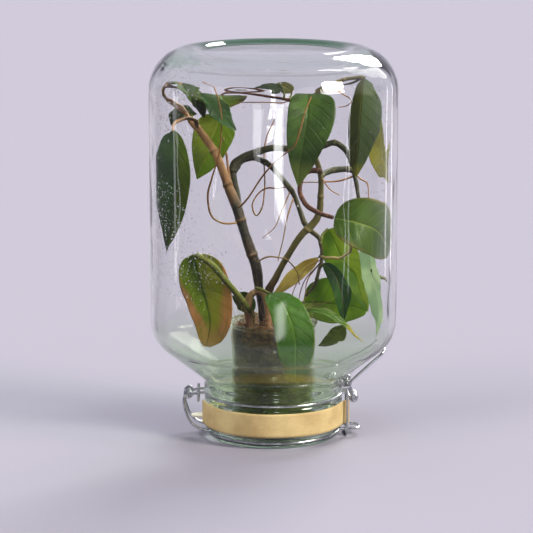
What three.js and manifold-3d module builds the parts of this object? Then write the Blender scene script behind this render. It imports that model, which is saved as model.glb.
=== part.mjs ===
// A glass plant terrarium: a swing-top preserving jar that stands upside down on its lid, with a
// climbing plant in a clear nursery pot inside. Millimetres, +Z up. The origin is the centre of the
// face that the lid rests on. The hinge of the lid is at -X, its latch at +X, and -Y is the front.
import * as THREE from "three";
import { mergeVertices } from "three/addons/utils/BufferGeometryUtils.js";
import Module from "manifold-3d";

const wasm = await Module();
wasm.setup();

// Driving dimensions of the jar.
const HEIGHT = 286;
const JAR_R = 90;
const WALL = 3.2;
const SHOULDER_R = 31; // outer corner between the side and the foot ring, which faces up here
const FOOT_R = JAR_R - SHOULDER_R;
const FOOT_RECESS = 3;
const BASE_THICK = 4.5;
const CURVE_R = 26; // outer corner between the side and the cone
const CURVE_Z = 86;
const CONE_TURN = 52; // degrees that the corner turns through before the cone
const NECK_R = 51;
const NECK_BORE = 45.5;
const NECK_TOP = 43;
const GROOVE_R = 48.9; // seat of the neck wire
const NECK_WIRE_Z = 32;
const MOUTH_R = 50.7;
const MOUTH_Z = 15;

// Lid, seal and paper.
const LID_R = 50.2;
const LID_TOP = 12.2;
const LID_FLOOR = 5.2;
const LID_FOOT_IN = 38.5;
const LID_FOOT_OUT = 46;
const LID_WIRE_R = 48.5;
const LID_WIRE_Z = 4.4;
const PAPER_LOW = 9.1;
const PAPER_HIGH = 26.8;
const PAPER_THICK = 0.5;
const GAP = 0.35; // what neighbouring pieces keep between them

// Latch. The lever turns about LATCH, the tension bail about BAIL.
const WIRE = 1.0; // radius of the steel wire
const EYE_R = 2.5; // to the middle of the wire
const LATCH = [59, 27.8];
const BAIL = [54, 39.6];
const HINGE = [-62.4, 31];

// Pot and roots.
const POT_RIM_R = 31.9;
const POT_FOOT_R = 29.6;
const POT_LOW = LID_FLOOR + 0.4;
const POT_HIGH = 85;
const POT_WALL = 0.8;
const SOIL_HIGH = 84.5;

// Plant.
const BLADE = 0.8;
const BLADE_ROWS = 8;
const BLADE_SPANS = 4;

const ROUND = 36;
const part = new THREE.Group();
const rad = THREE.MathUtils.degToRad;

function finish(color, roughness, metalness = 0, opacity = 1) {
  return new THREE.MeshStandardMaterial({
    color,
    roughness,
    metalness,
    opacity,
    transparent: opacity < 1,
  });
}

const CLEAR_GLASS = finish(0xdfe9e2, 0.03, 0, 0.3);
const STEEL = finish(0xc9ccd0, 0.22, 1);
const RUBBER = finish(0xd6d2bf, 0.55);
const KRAFT = finish(0xa98a5c, 0.85);
const POT_PLASTIC = finish(0xdfe2dc, 0.15, 0, 0.35);
const SOIL = finish(0x463a2b, 0.95);
const BARK = finish(0x5e4a36, 0.7);
const GREEN_BARK = finish(0x4a4d3c, 0.65);
const PALE_ROOT = finish(0xc9a877, 0.6);
const LEAF = finish(0x3f7a2c, 0.4);
const BRIGHT_LEAF = finish(0x7fa51f, 0.45);
const OLIVE_LEAF = finish(0x7d7a35, 0.5);
const RED_LEAF = finish(0x8a7040, 0.45);

function solid(geometry) {
  const bare = geometry.index ? geometry : mergeVertices(positionOnly(geometry), 1e-4);
  return new wasm.Manifold(
    new wasm.Mesh({
      numProp: 3,
      vertProperties: new Float32Array(bare.attributes.position.array),
      triVerts: new Uint32Array(bare.index.array),
    }),
  );
}

function positionOnly(geometry) {
  const flat = geometry.index ? geometry.toNonIndexed() : geometry;
  return new THREE.BufferGeometry().setAttribute("position", flat.getAttribute("position"));
}

function geometryOf(manifold) {
  const { vertProperties, triVerts } = manifold.getMesh();
  return new THREE.BufferGeometry()
    .setAttribute("position", new THREE.BufferAttribute(vertProperties, 3))
    .setIndex(new THREE.BufferAttribute(triVerts, 1));
}

function add(name, manifold, material) {
  const mesh = new THREE.Mesh(geometryOf(manifold), material);
  mesh.name = name;
  part.add(mesh);
}

const joined = (solids) => solids.reduce((whole, piece) => whole.add(piece));

// The largest body of a cut piece, without the scraps on the far side of what cut it.
function largest(manifold) {
  return manifold.decompose().reduce((a, b) => (b.volume() > a.volume() ? b : a));
}

// An arc of a profile in the radius-height plane, from one angle to another in degrees.
function arc(r, z, radiusR, radiusZ, from, to, steps) {
  return Array.from({ length: steps + 1 }, (_, i) => {
    const a = rad(from + ((to - from) * i) / steps);
    return [r + radiusR * Math.cos(a), z + radiusZ * Math.sin(a)];
  });
}

function lathe(profile, segments = ROUND) {
  const turned = new THREE.LatheGeometry(
    profile.map(([r, z]) => new THREE.Vector2(r, z)),
    segments,
  );
  turned.rotateX(Math.PI / 2);
  return solid(mergeVertices(positionOnly(turned), 1e-4));
}

// A closed round bar along a smooth path, which may taper.
function bar(path, radius, { sides = 5, per = 2 } = {}) {
  const curve = new THREE.CatmullRomCurve3(
    path.map((p) => new THREE.Vector3(...p)),
    false,
    "centripetal",
  );
  const [r0, r1] = Array.isArray(radius) ? radius : [radius, radius];
  const centres = curve.getPoints(per * (path.length - 1));
  const count = centres.length;
  const along = centres.map((_, i) => {
    const before = centres[Math.max(i - 1, 0)];
    const after = centres[Math.min(i + 1, count - 1)];
    return after.clone().sub(before).normalize();
  });
  const across = new THREE.Vector3(0, 0, 1).cross(along[0]);
  if (across.length() < 0.1) across.set(1, 0, 0);
  const points = [];
  centres.forEach((centre, i) => {
    across.addScaledVector(along[i], -across.dot(along[i])).normalize();
    const up = along[i].clone().cross(across);
    const r = r0 + ((r1 - r0) * i) / (count - 1);
    for (let k = 0; k < sides; k++) {
      const a = (2 * Math.PI * k) / sides;
      points.push(
        centre
          .clone()
          .addScaledVector(across, r * Math.cos(a))
          .addScaledVector(up, r * Math.sin(a)),
      );
    }
  });
  const faces = [];
  for (let i = 0; i < count - 1; i++)
    for (let k = 0; k < sides; k++) {
      const a = i * sides + k;
      const b = i * sides + ((k + 1) % sides);
      faces.push(a, b, b + sides, a, b + sides, a + sides);
    }
  const last = (count - 1) * sides;
  for (let k = 1; k < sides - 1; k++) {
    faces.push(0, k + 1, k);
    faces.push(last, last + k, last + k + 1);
  }
  return solid(indexed(points, faces));
}

function indexed(points, faces) {
  return new THREE.BufferGeometry()
    .setAttribute(
      "position",
      new THREE.Float32BufferAttribute(
        points.flatMap((p) => p.toArray()),
        3,
      ),
    )
    .setIndex(faces);
}

// A wire eye that stands in the plane of X and Z.
function eye([x, z], y) {
  const ring = new THREE.TorusGeometry(EYE_R, WIRE, 5, 10);
  ring.rotateX(Math.PI / 2).translate(x, y, z);
  return solid(mergeVertices(positionOnly(ring), 1e-4));
}

function hoop(radius, z) {
  const ring = new THREE.TorusGeometry(radius, WIRE, 5, ROUND);
  ring.translate(0, 0, z);
  return solid(mergeVertices(positionOnly(ring), 1e-4));
}

const mirrored = (path) => path.map(([x, y, z]) => [x, -y, z]);
const bothSides = (path) => [...path, ...mirrored(path).reverse()];

// The jar: one closed profile, down the outside and back up the inside.
const coneEnd = [
  JAR_R - CURVE_R + CURVE_R * Math.cos(rad(CONE_TURN)),
  CURVE_Z - CURVE_R * Math.sin(rad(CONE_TURN)),
];
const outside = [
  [0, HEIGHT - FOOT_RECESS],
  [FOOT_R - 8, HEIGHT - FOOT_RECESS],
  [FOOT_R - 4, HEIGHT - 0.6],
  [FOOT_R - 2, HEIGHT],
  ...arc(FOOT_R, HEIGHT - SHOULDER_R, SHOULDER_R, SHOULDER_R, 90, 0, 6),
  ...arc(JAR_R - CURVE_R, CURVE_Z, CURVE_R, CURVE_R, 0, -CONE_TURN, 4),
  [NECK_R, NECK_TOP],
  [NECK_R - 1.3, NECK_TOP - 2],
  [NECK_R, NECK_TOP - 5],
  [NECK_R - 0.4, NECK_WIRE_Z + 2.4],
  [GROOVE_R, NECK_WIRE_Z + 1.2],
  [GROOVE_R, NECK_WIRE_Z - 1.2],
  [MOUTH_R, NECK_WIRE_Z - 3],
  [MOUTH_R, MOUTH_Z + 1.2],
  [MOUTH_R - 1, MOUTH_Z],
];
const insideCorner = CURVE_R - WALL;
const inside = [
  [NECK_BORE + 0.8, MOUTH_Z],
  [NECK_BORE, MOUTH_Z + 1],
  [NECK_BORE, NECK_TOP - 0.3],
  ...arc(JAR_R - CURVE_R, CURVE_Z, insideCorner, insideCorner, -CONE_TURN, 0, 3),
  ...arc(FOOT_R + 2, HEIGHT - 32, JAR_R - WALL - FOOT_R - 2, 24.5, 0, 90, 4),
  [0, HEIGHT - FOOT_RECESS - BASE_THICK],
];
add("jar_glass", lathe([...outside, ...inside].reverse()), CLEAR_GLASS);

// How far from the axis the jar's inner face is at a height.
function boreAt(z) {
  for (let i = 1; i < inside.length; i++) {
    const [r0, z0] = inside[i - 1];
    const [r1, z1] = inside[i];
    if (z <= z1) return r0 + ((r1 - r0) * (z - z0)) / (z1 - z0 || 1);
  }
  return 0;
}

// The lid, with the foot that it stands on, a groove for its wire and a rim that centres the seal.
add(
  "lid_glass",
  lathe(
    [
      [0, 1],
      [LID_FOOT_IN - 1.5, 1],
      [LID_FOOT_IN, 0],
      [LID_FOOT_OUT, 0],
      [LID_WIRE_R - 0.6, 1.8],
      [LID_WIRE_R - 0.6, 2.8],
      [LID_WIRE_R - 1.3, 3.2],
      [LID_WIRE_R - 1.3, 5.7],
      [LID_R - 0.4, 6.7],
      [LID_R, 7.4],
      [LID_R, LID_TOP],
      [NECK_BORE - 1.2, LID_TOP],
      [NECK_BORE - 1.2, LID_TOP + 4],
      [NECK_BORE - 4, LID_TOP + 4],
      [NECK_BORE - 4.4, LID_FLOOR + 1],
      [NECK_BORE - 6, LID_FLOOR],
      [0, LID_FLOOR],
    ],
  ),
  CLEAR_GLASS,
);

// The flat sealing ring, with a rounded tab to pull it by at the hinge side.
const SEAL_LOW = LID_TOP + GAP;
const SEAL_HIGH = MOUTH_Z - GAP;
const tabOutline = new THREE.Shape();
tabOutline.moveTo(-LID_R + 2, -5);
tabOutline.lineTo(-LID_R + 2, 5);
tabOutline.lineTo(-55, 5.5);
tabOutline.absarc(-55, 0, 5.5, Math.PI / 2, (3 * Math.PI) / 2, false);
const tab = new THREE.ExtrudeGeometry(tabOutline, {
  depth: SEAL_HIGH - SEAL_LOW - 0.6,
  bevelEnabled: false,
  curveSegments: 10,
});
tab.translate(0, 0, SEAL_LOW + 0.3);
add(
  "seal_ring",
  lathe([
    [NECK_BORE - 0.8, SEAL_LOW],
    [LID_R, SEAL_LOW],
    [LID_R, SEAL_HIGH],
    [NECK_BORE - 0.8, SEAL_HIGH],
    [NECK_BORE - 0.8, SEAL_LOW],
  ]).add(solid(mergeVertices(positionOnly(tab), 1e-4))),
  RUBBER,
);

// The wire in the neck groove, with its hinge eyes, its latch eyes and the clip on each hinge arm.
const neckRingR = GROOVE_R + GAP + WIRE;
const hingeArm = [
  [-neckRingR + 0.6, -6.5, NECK_WIRE_Z],
  [-54, -6.5, NECK_WIRE_Z],
  [HINGE[0] + EYE_R, -6.5, HINGE[1]],
];
const hingeClip = [
  [-55.2, -6.5, 25.5],
  [-55.2, -6.5, 36],
];
const latchArm = [
  [neckRingR - 0.6, -4.6, NECK_WIRE_Z],
  [53, -4.6, NECK_WIRE_Z - 0.4],
  [LATCH[0] - EYE_R + 0.2, -4.6, LATCH[1] + 1],
];
add(
  "neck_wire",
  joined([
    hoop(neckRingR, NECK_WIRE_Z),
    bar(hingeArm, WIRE),
    bar(mirrored(hingeArm), WIRE),
    bar(hingeClip, WIRE),
    bar(mirrored(hingeClip), WIRE),
    bar(latchArm, WIRE),
    bar(mirrored(latchArm), WIRE),
    eye(HINGE, -6.5),
    eye(HINGE, 6.5),
    eye(LATCH, -4.6),
    eye(LATCH, 4.6),
  ]),
  STEEL,
);

// The wire round the lid: two arms that end in the hinge eyes, and a lip to lift the lid by.
const lidArm = [
  [-46.9, -10, LID_WIRE_Z],
  [-51, -10, 5],
  [-57, -10, 7.5],
  [-61.5, -10, 12],
  [-64, -10, 18],
  [-65.6, -10, 25],
  [-65, -9.9, 29.6],
  [-63.4, -9.4, 31],
  [HINGE[0], -7.8, HINGE[1]],
  [HINGE[0], -4.4, HINGE[1]],
];
const lip = [
  [47.4, -7, LID_WIRE_Z],
  [51, -7, 5.3],
  [57, -7, 5.4],
  [61.6, -6.4, 5.3],
  [63, -4, 5.2],
];
add(
  "lid_wire",
  joined([
    hoop(LID_WIRE_R, LID_WIRE_Z),
    bar(lidArm, WIRE),
    bar(mirrored(lidArm), WIRE),
    bar(bothSides(lip), WIRE),
  ]),
  STEEL,
);

// The locking lever: a pin in each latch eye, a crank for the bail, and the U-shaped handle.
const lever = [
  [LATCH[0], -2.9, LATCH[1]],
  [LATCH[0], -6.4, LATCH[1]],
  [LATCH[0] - 0.6, -7.4, LATCH[1] + 1.4],
  [BAIL[0] + 0.8, -7.4, BAIL[1] - 1.9],
  [BAIL[0], -8.2, BAIL[1]],
  [BAIL[0], -11.8, BAIL[1]],
  [BAIL[0] + 1.2, -12.6, BAIL[1] + 1.1],
  [67, -12.4, 51.6],
  [79, -11.4, 62.4],
  [80.8, -8.8, 64],
];
add("lever_wire", bar(bothSides(lever), WIRE), STEEL);

// The tension bail: an eye on each crank, two legs, and the foot that pulls the lip up.
const bail = [
  [BAIL[0], -10, BAIL[1] - EYE_R],
  [BAIL[0], -10, 22],
  [BAIL[0], -10, 4.6],
  [BAIL[0], -9.3, 2.4],
  [BAIL[0], -7.2, 1.7],
];
add(
  "link_wire",
  joined([
    eye(BAIL, -10),
    eye(BAIL, 10),
    bar(bothSides(bail), WIRE),
  ]),
  STEEL,
);

// The paper: a strip round the front of the mouth, whose ends stand off the glass.
const paperIn = MOUTH_R + GAP + 0.1;
function paperEdge(offset) {
  const r = paperIn + offset;
  const rim = [];
  for (let a = 189; a <= 347; a += 5) rim.push([r * Math.cos(rad(a)), r * Math.sin(rad(a))]);
  const start = [-paperIn - 0.6 - offset, -5.6];
  const end = [52.6 + offset, -7.2];
  const loose = [55.8 + offset, -6.4];
  return [start, ...rim, end, loose];
}
const paperShape = new THREE.Shape(
  [...paperEdge(PAPER_THICK), ...paperEdge(0).reverse()].map(([x, y]) => new THREE.Vector2(x, y)),
);
const paper = new THREE.ExtrudeGeometry(paperShape, {
  depth: PAPER_HIGH - PAPER_LOW,
  bevelEnabled: false,
});
paper.translate(0, 0, PAPER_LOW);
add("paper_band", solid(mergeVertices(positionOnly(paper), 1e-4)), KRAFT);

// The nursery pot stands on the lid, and the root ball fills it to just under the rim.
add(
  "nursery_pot",
  lathe([
    [0, POT_LOW],
    [POT_FOOT_R - 1.2, POT_LOW],
    [POT_FOOT_R, POT_LOW + 1.2],
    [POT_RIM_R - 0.9, POT_HIGH - 3],
    [POT_RIM_R, POT_HIGH - 2],
    [POT_RIM_R, POT_HIGH],
    [POT_RIM_R - 0.9, POT_HIGH],
    [POT_RIM_R - 0.9 - POT_WALL, POT_HIGH - 2.5],
    [POT_FOOT_R - POT_WALL, POT_LOW + 2.4],
    [POT_FOOT_R - POT_WALL - 1.2, POT_LOW + 1.2],
    [0, POT_LOW + 1.2],
  ]),
  POT_PLASTIC,
);

// Stems and aerial roots. Each limb is a smooth path with the radius at its start and its end.
const SOIL_IN = 70; // stems are rooted down to here
const stems = {
  stem_left: [
    {
      r: [2.9, 3.8],
      path: [
        [-8, -6, SOIL_IN], [-8, -6, 88], [-10, -6, 107], [-12, -7, 126], [-16, -8, 139],
        [-22, -8, 157], [-26, -7, 170],
      ],
    },
    {
      r: [3.9, 1.6],
      path: [
        [-26, -7, 169], [-31, -5, 182], [-44, 0, 211], [-59, 4, 232], [-74, 4, 247], [-79, 2, 254],
        [-77, -1, 259.5], [-71, -5, 260.4], [-66, -8.6, 260.6],
      ],
    },
    {
      r: [0.6, 0.5],
      path: [
        [-24, -8, 160], [-29, -12, 159.5], [-37, -14, 160], [-44, -16, 164], [-47, -16, 178],
        [-45, -14, 192], [-40, -12, 209], [-38, -14, 227], [-38, -17, 243], [-42, -18, 260],
        [-50, -14, 267],
      ],
    },
    {
      r: [0.7, 0.5],
      path: [
        [-26, -8, 170], [-22, -14, 174], [-15, -24, 185], [-2, -40, 205], [9, -55, 217],
        [14, -63, 222], [17, -66, 230], [22, -65, 248], [26, -61, 258],
      ],
    },
    {
      r: [0.6, 0.5],
      path: [
        [-12, -9, 130], [-5, -14, 135], [3, -19, 136], [10, -20, 134], [17, -18, 125],
        [19, -16, 115],
      ],
    },
    {
      r: [1.2, 1.0],
      path: [[-29, -4, 178], [-30, 1, 184], [-32, 5, 192], [-34, 8, 208], [-37, 8, 219]],
    },
    {
      r: [1.4, 1.1],
      path: [
        [-55, 2, 228], [-56, -4, 233.5], [-64, -9, 235], [-71, -12, 232], [-72.5, -13.5, 229],
        [-72, -15.2, 226.5],
      ],
    },
  ],
  stem_arch: [
    {
      r: [2.9, 3.0],
      path: [
        [-25, -5, 168], [-26, 2, 174], [-29, 8, 188], [-28.5, 11, 198], [-24, 13, 203],
        [-13, 14, 207.5], [-1, 14, 210.5], [13, 14, 210], [31, 14, 211],
      ],
    },
    {
      r: [3.0, 1.6],
      path: [
        [31, 14, 211], [43, 14, 215], [50, 14, 212], [55.5, 14, 205], [59.5, 12, 193], [62, 8, 179],
        [64, 4, 163], [66, 0, 148],
      ],
    },
    {
      r: [2.4, 2.2],
      path: [[59.5, 12, 194], [53, 11, 195], [45, 9, 194.8], [38, 4, 193.6], [34, -4, 192]],
    },
    { r: [0.7, 0.5], path: [[60, 12, 190], [52, 12, 187], [41, 12, 186], [21, 12, 186]] },
    { r: [0.6, 0.5], path: [[60, 11, 193], [64, 6, 189], [68, 2, 186], [69, 0, 176]] },
  ],
  stem_branch: [
    {
      r: [2.2, 2.0],
      path: [
        [-28, 11, 194], [-24, 20, 200], [-14, 23, 202], [-4, 22, 198], [11, 18, 182],
        [19, 14, 167], [26, 11, 152], [33, 9, 145],
      ],
    },
    {
      r: [1.5, 1.0],
      path: [[33, 9, 145], [35, 9, 136], [35, 8, 128], [33, 5, 122], [30, 0, 112], [24, -4, 104]],
    },
    {
      r: [0.6, 0.5],
      path: [
        [11, 18, 182], [3, 24, 179], [-4, 25, 179], [-11, 24, 175], [-16, 23, 167], [-12, 22, 159],
        [-8, 22, 165], [-6, 24, 181], [-6, 28, 214], [0, 30, 230],
      ],
    },
    { r: [0.6, 0.5], path: [[15, 16, 175], [13, 12, 171], [10, 8, 163], [6, 4, 144], [3, 3, 129]] },
    { r: [0.5, 0.5], path: [[12, 17, 179], [8, 10, 170], [5, 6, 164], [0, 4, 153], [-8, 3, 146]] },
    { r: [0.5, 0.4], path: [[35, 8, 129], [25, 6, 123], [18, 2, 113], [14, -2, 102]] },
    { r: [0.5, 0.4], path: [[35, 8, 128], [28, 8, 119], [22, 6, 110], [19, 4, 98]] },
    { r: [0.5, 0.4], path: [[35, 8, 128], [29, 10, 119], [25, 10, 110], [24, 8, 100]] },
  ],
  stem_right: [
    {
      r: [2.8, 2.4],
      path: [
        [-3, 5, SOIL_IN], [-3, 4, 88], [-3, 0, 108], [1, -3, 117], [13, -6, 138], [22.5, -8, 151],
        [28, -8, 157], [31.5, -8, 162], [33.5, -8, 168], [34, -8, 178],
      ],
    },
    {
      r: [2.4, 2.0],
      path: [
        [34, -8, 177], [34, -8, 190], [32, -8, 200], [28, -8, 210], [23, -9, 228], [22, -11, 243],
        [26, -15, 252], [32, -19, 258], [40, -22, 264], [46, -22, 268], [54, -22, 270],
        [60, -22.5, 270], [63, -25.5, 268.6],
      ],
    },
    { r: [1.3, 1.2], path: [[40, -21, 263], [46, -18, 263], [54, -18, 265], [61, -20, 268.5]] },
    {
      r: [0.5, 0.4],
      path: [
        [42, -23, 264], [45, -26, 259], [49, -28, 256], [53, -28, 253], [54, -28, 250],
        [51, -28, 247], [45, -28, 246],
      ],
    },
    {
      r: [2.1, 1.6],
      path: [
        [34, -9, 197], [26, -13, 198], [21, -16, 195], [19, -18, 189], [19, -20, 184],
        [21, -23, 179], [25, -27, 174], [33, -33, 170], [42, -38, 168],
      ],
    },
    { r: [0.6, 0.4], path: [[35, -9, 192], [38, -14, 188], [42, -16, 184], [48, -18, 181]] },
    {
      r: [1.6, 1.0],
      path: [
        [23, -10, 244], [16, -5, 247], [12, 2, 249], [5, 8, 251], [-4, 14, 252], [-15, 20, 254],
        [-24, 24, 255], [-34, 26, 254.5], [-38, 25.4, 252.2],
      ],
    },
    { r: [0.6, 0.4], path: [[12, 2, 248.6], [7, 5, 247], [-8, 10, 247], [-27, 14, 246]] },
  ],
  stem_hoop: [
    {
      r: [2.5, 2.3],
      path: [
        [-17, -15, SOIL_IN + 6], [-18, -15, 88], [-19, -15, 98], [-17, -15, 106],
        [-13, -14.5, 109], [-8, -14, 108.5], [-5, -14, 103], [-4, -14, 96], [-4, -14, 88],
        [-4, -13, SOIL_IN + 6],
      ],
    },
  ],
  root_pale: [
    {
      r: [0.9, 1.0],
      path: [
        [35, 8, 131], [39, 1, 131.5], [43, -3, 132.5], [48, -8, 133], [52, -14, 136],
        [55, -20, 140], [56, -24, 145],
      ],
    },
  ],
};
const stemFinish = {
  stem_left: BARK,
  stem_arch: GREEN_BARK,
  stem_branch: GREEN_BARK,
  stem_right: BARK,
  stem_hoop: BARK,
  root_pale: PALE_ROOT,
};
const fineness = (r) => ({ sides: r[0] > 1.8 ? 7 : r[0] > 0.9 ? 5 : 4, per: 1 });

const limb = ({ path, r }) => bar(path, r, fineness(r));

// The same limb with the gap that its neighbours keep, beyond its ends too.
function around({ path, r }) {
  const points = path.map((p) => new THREE.Vector3(...p));
  const first = points[0].clone().sub(points[1]).normalize();
  const last = points.at(-1).clone().sub(points.at(-2)).normalize();
  const longer = [
    points[0].clone().addScaledVector(first, GAP + 0.1),
    ...points.slice(1, -1),
    points.at(-1).clone().addScaledVector(last, GAP + 0.1),
  ];
  const swell = GAP + 0.05;
  return bar(
    longer.map((p) => p.toArray()),
    [r[0] + swell, r[1] + swell],
    fineness(r),
  );
}

const grown = {};
const swollen = {};
for (const [name, limbs] of Object.entries(stems)) {
  grown[name] = joined(limbs.map((one) => limb(one)));
  for (const before of Object.values(swollen)) grown[name] = grown[name].subtract(before);
  grown[name] = largest(grown[name]);
  swollen[name] = joined(limbs.map(around));
  add(name, grown[name], stemFinish[name]);
}

// How wide a leaf is along its length: nothing at both ends, full where it is broadest.
function leafWidth(t, belly, tip) {
  const rise = (tip * belly) / (1 - belly);
  const full = belly ** rise * (1 - belly) ** tip;
  return Math.max((t ** rise * (1 - t) ** tip) / full, 0.04);
}

// A leaf keeps off the glass around it and off the pot.
function keepClear(point) {
  const margin = BLADE / 2 + GAP + 0.3;
  const ceiling = HEIGHT - FOOT_RECESS - BASE_THICK - 1 - margin;
  point.z = Math.min(point.z, ceiling);
  const reach = Math.hypot(point.x, point.y);
  const widest = boreAt(point.z) - margin - 0.4;
  const narrowest = point.z < POT_HIGH + margin ? POT_RIM_R + margin : 0;
  const scale = THREE.MathUtils.clamp(reach, narrowest, widest) / reach;
  point.x *= scale;
  point.y *= scale;
  return point;
}

// A blade along its midrib, from the stalk to the tip. The face is the way its upper side looks,
// and left and right are its half widths as seen from that side with the tip down.
function blade({ rib, left, right, face = [0, -1, 0.25], belly = 0.4, tip = 0.95, cup = 12, wave = 0.8 }) {
  const curve = new THREE.CatmullRomCurve3(
    rib.map((p) => new THREE.Vector3(...p)),
    false,
    "centripetal",
  );
  const faces = (Array.isArray(face[0]) ? face : [face, face]).map((p) => new THREE.Vector3(...p));
  const upper = [];
  const lower = [];
  for (let i = 0; i <= BLADE_ROWS; i++) {
    const t = i / BLADE_ROWS;
    const middle = curve.getPointAt(t);
    const along = curve.getTangentAt(t);
    const place = t * (faces.length - 1);
    const k = Math.min(Math.floor(place), faces.length - 2);
    const look = faces[k].clone().lerp(faces[k + 1], place - k);
    const side = look.clone().cross(along).normalize();
    const normal = along.clone().cross(side);
    const width = leafWidth(t, belly, tip);
    for (let j = 0; j <= BLADE_SPANS; j++) {
      const v = (2 * j) / BLADE_SPANS - 1;
      const reach = (v < 0 ? left : right) * width * v;
      const ripple = wave * width * v * v * Math.sin(9 * t + (v < 0 ? 1 : 3));
      const point = middle
        .clone()
        .addScaledVector(side, reach * Math.cos(rad(cup)))
        .addScaledVector(normal, Math.abs(reach) * Math.sin(rad(cup)) + ripple);
      keepClear(point);
      upper.push(point.clone().addScaledVector(normal, BLADE / 2));
      lower.push(point.clone().addScaledVector(normal, -BLADE / 2));
    }
  }
  const wide = BLADE_SPANS + 1;
  const under = upper.length;
  const faceList = [];
  const quad = (a, b, c, d) => faceList.push(a, b, c, a, c, d);
  for (let i = 0; i < BLADE_ROWS; i++)
    for (let j = 0; j < BLADE_SPANS; j++) {
      const a = i * wide + j;
      quad(a, a + wide, a + wide + 1, a + 1);
      faceList.push(under + a, under + a + wide + 1, under + a + wide);
      faceList.push(under + a, under + a + 1, under + a + wide + 1);
    }
  for (let i = 0; i < BLADE_ROWS; i++) {
    const a = i * wide;
    const b = a + BLADE_SPANS;
    quad(a + wide, a, under + a, under + a + wide);
    quad(b, b + wide, under + b + wide, under + b);
  }
  const end = BLADE_ROWS * wide;
  for (let j = 0; j < BLADE_SPANS; j++) {
    quad(j, j + 1, under + j + 1, under + j);
    quad(end + j + 1, end + j, under + end + j, under + end + j + 1);
  }
  return solid(indexed([...upper, ...lower], faceList));
}

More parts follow.
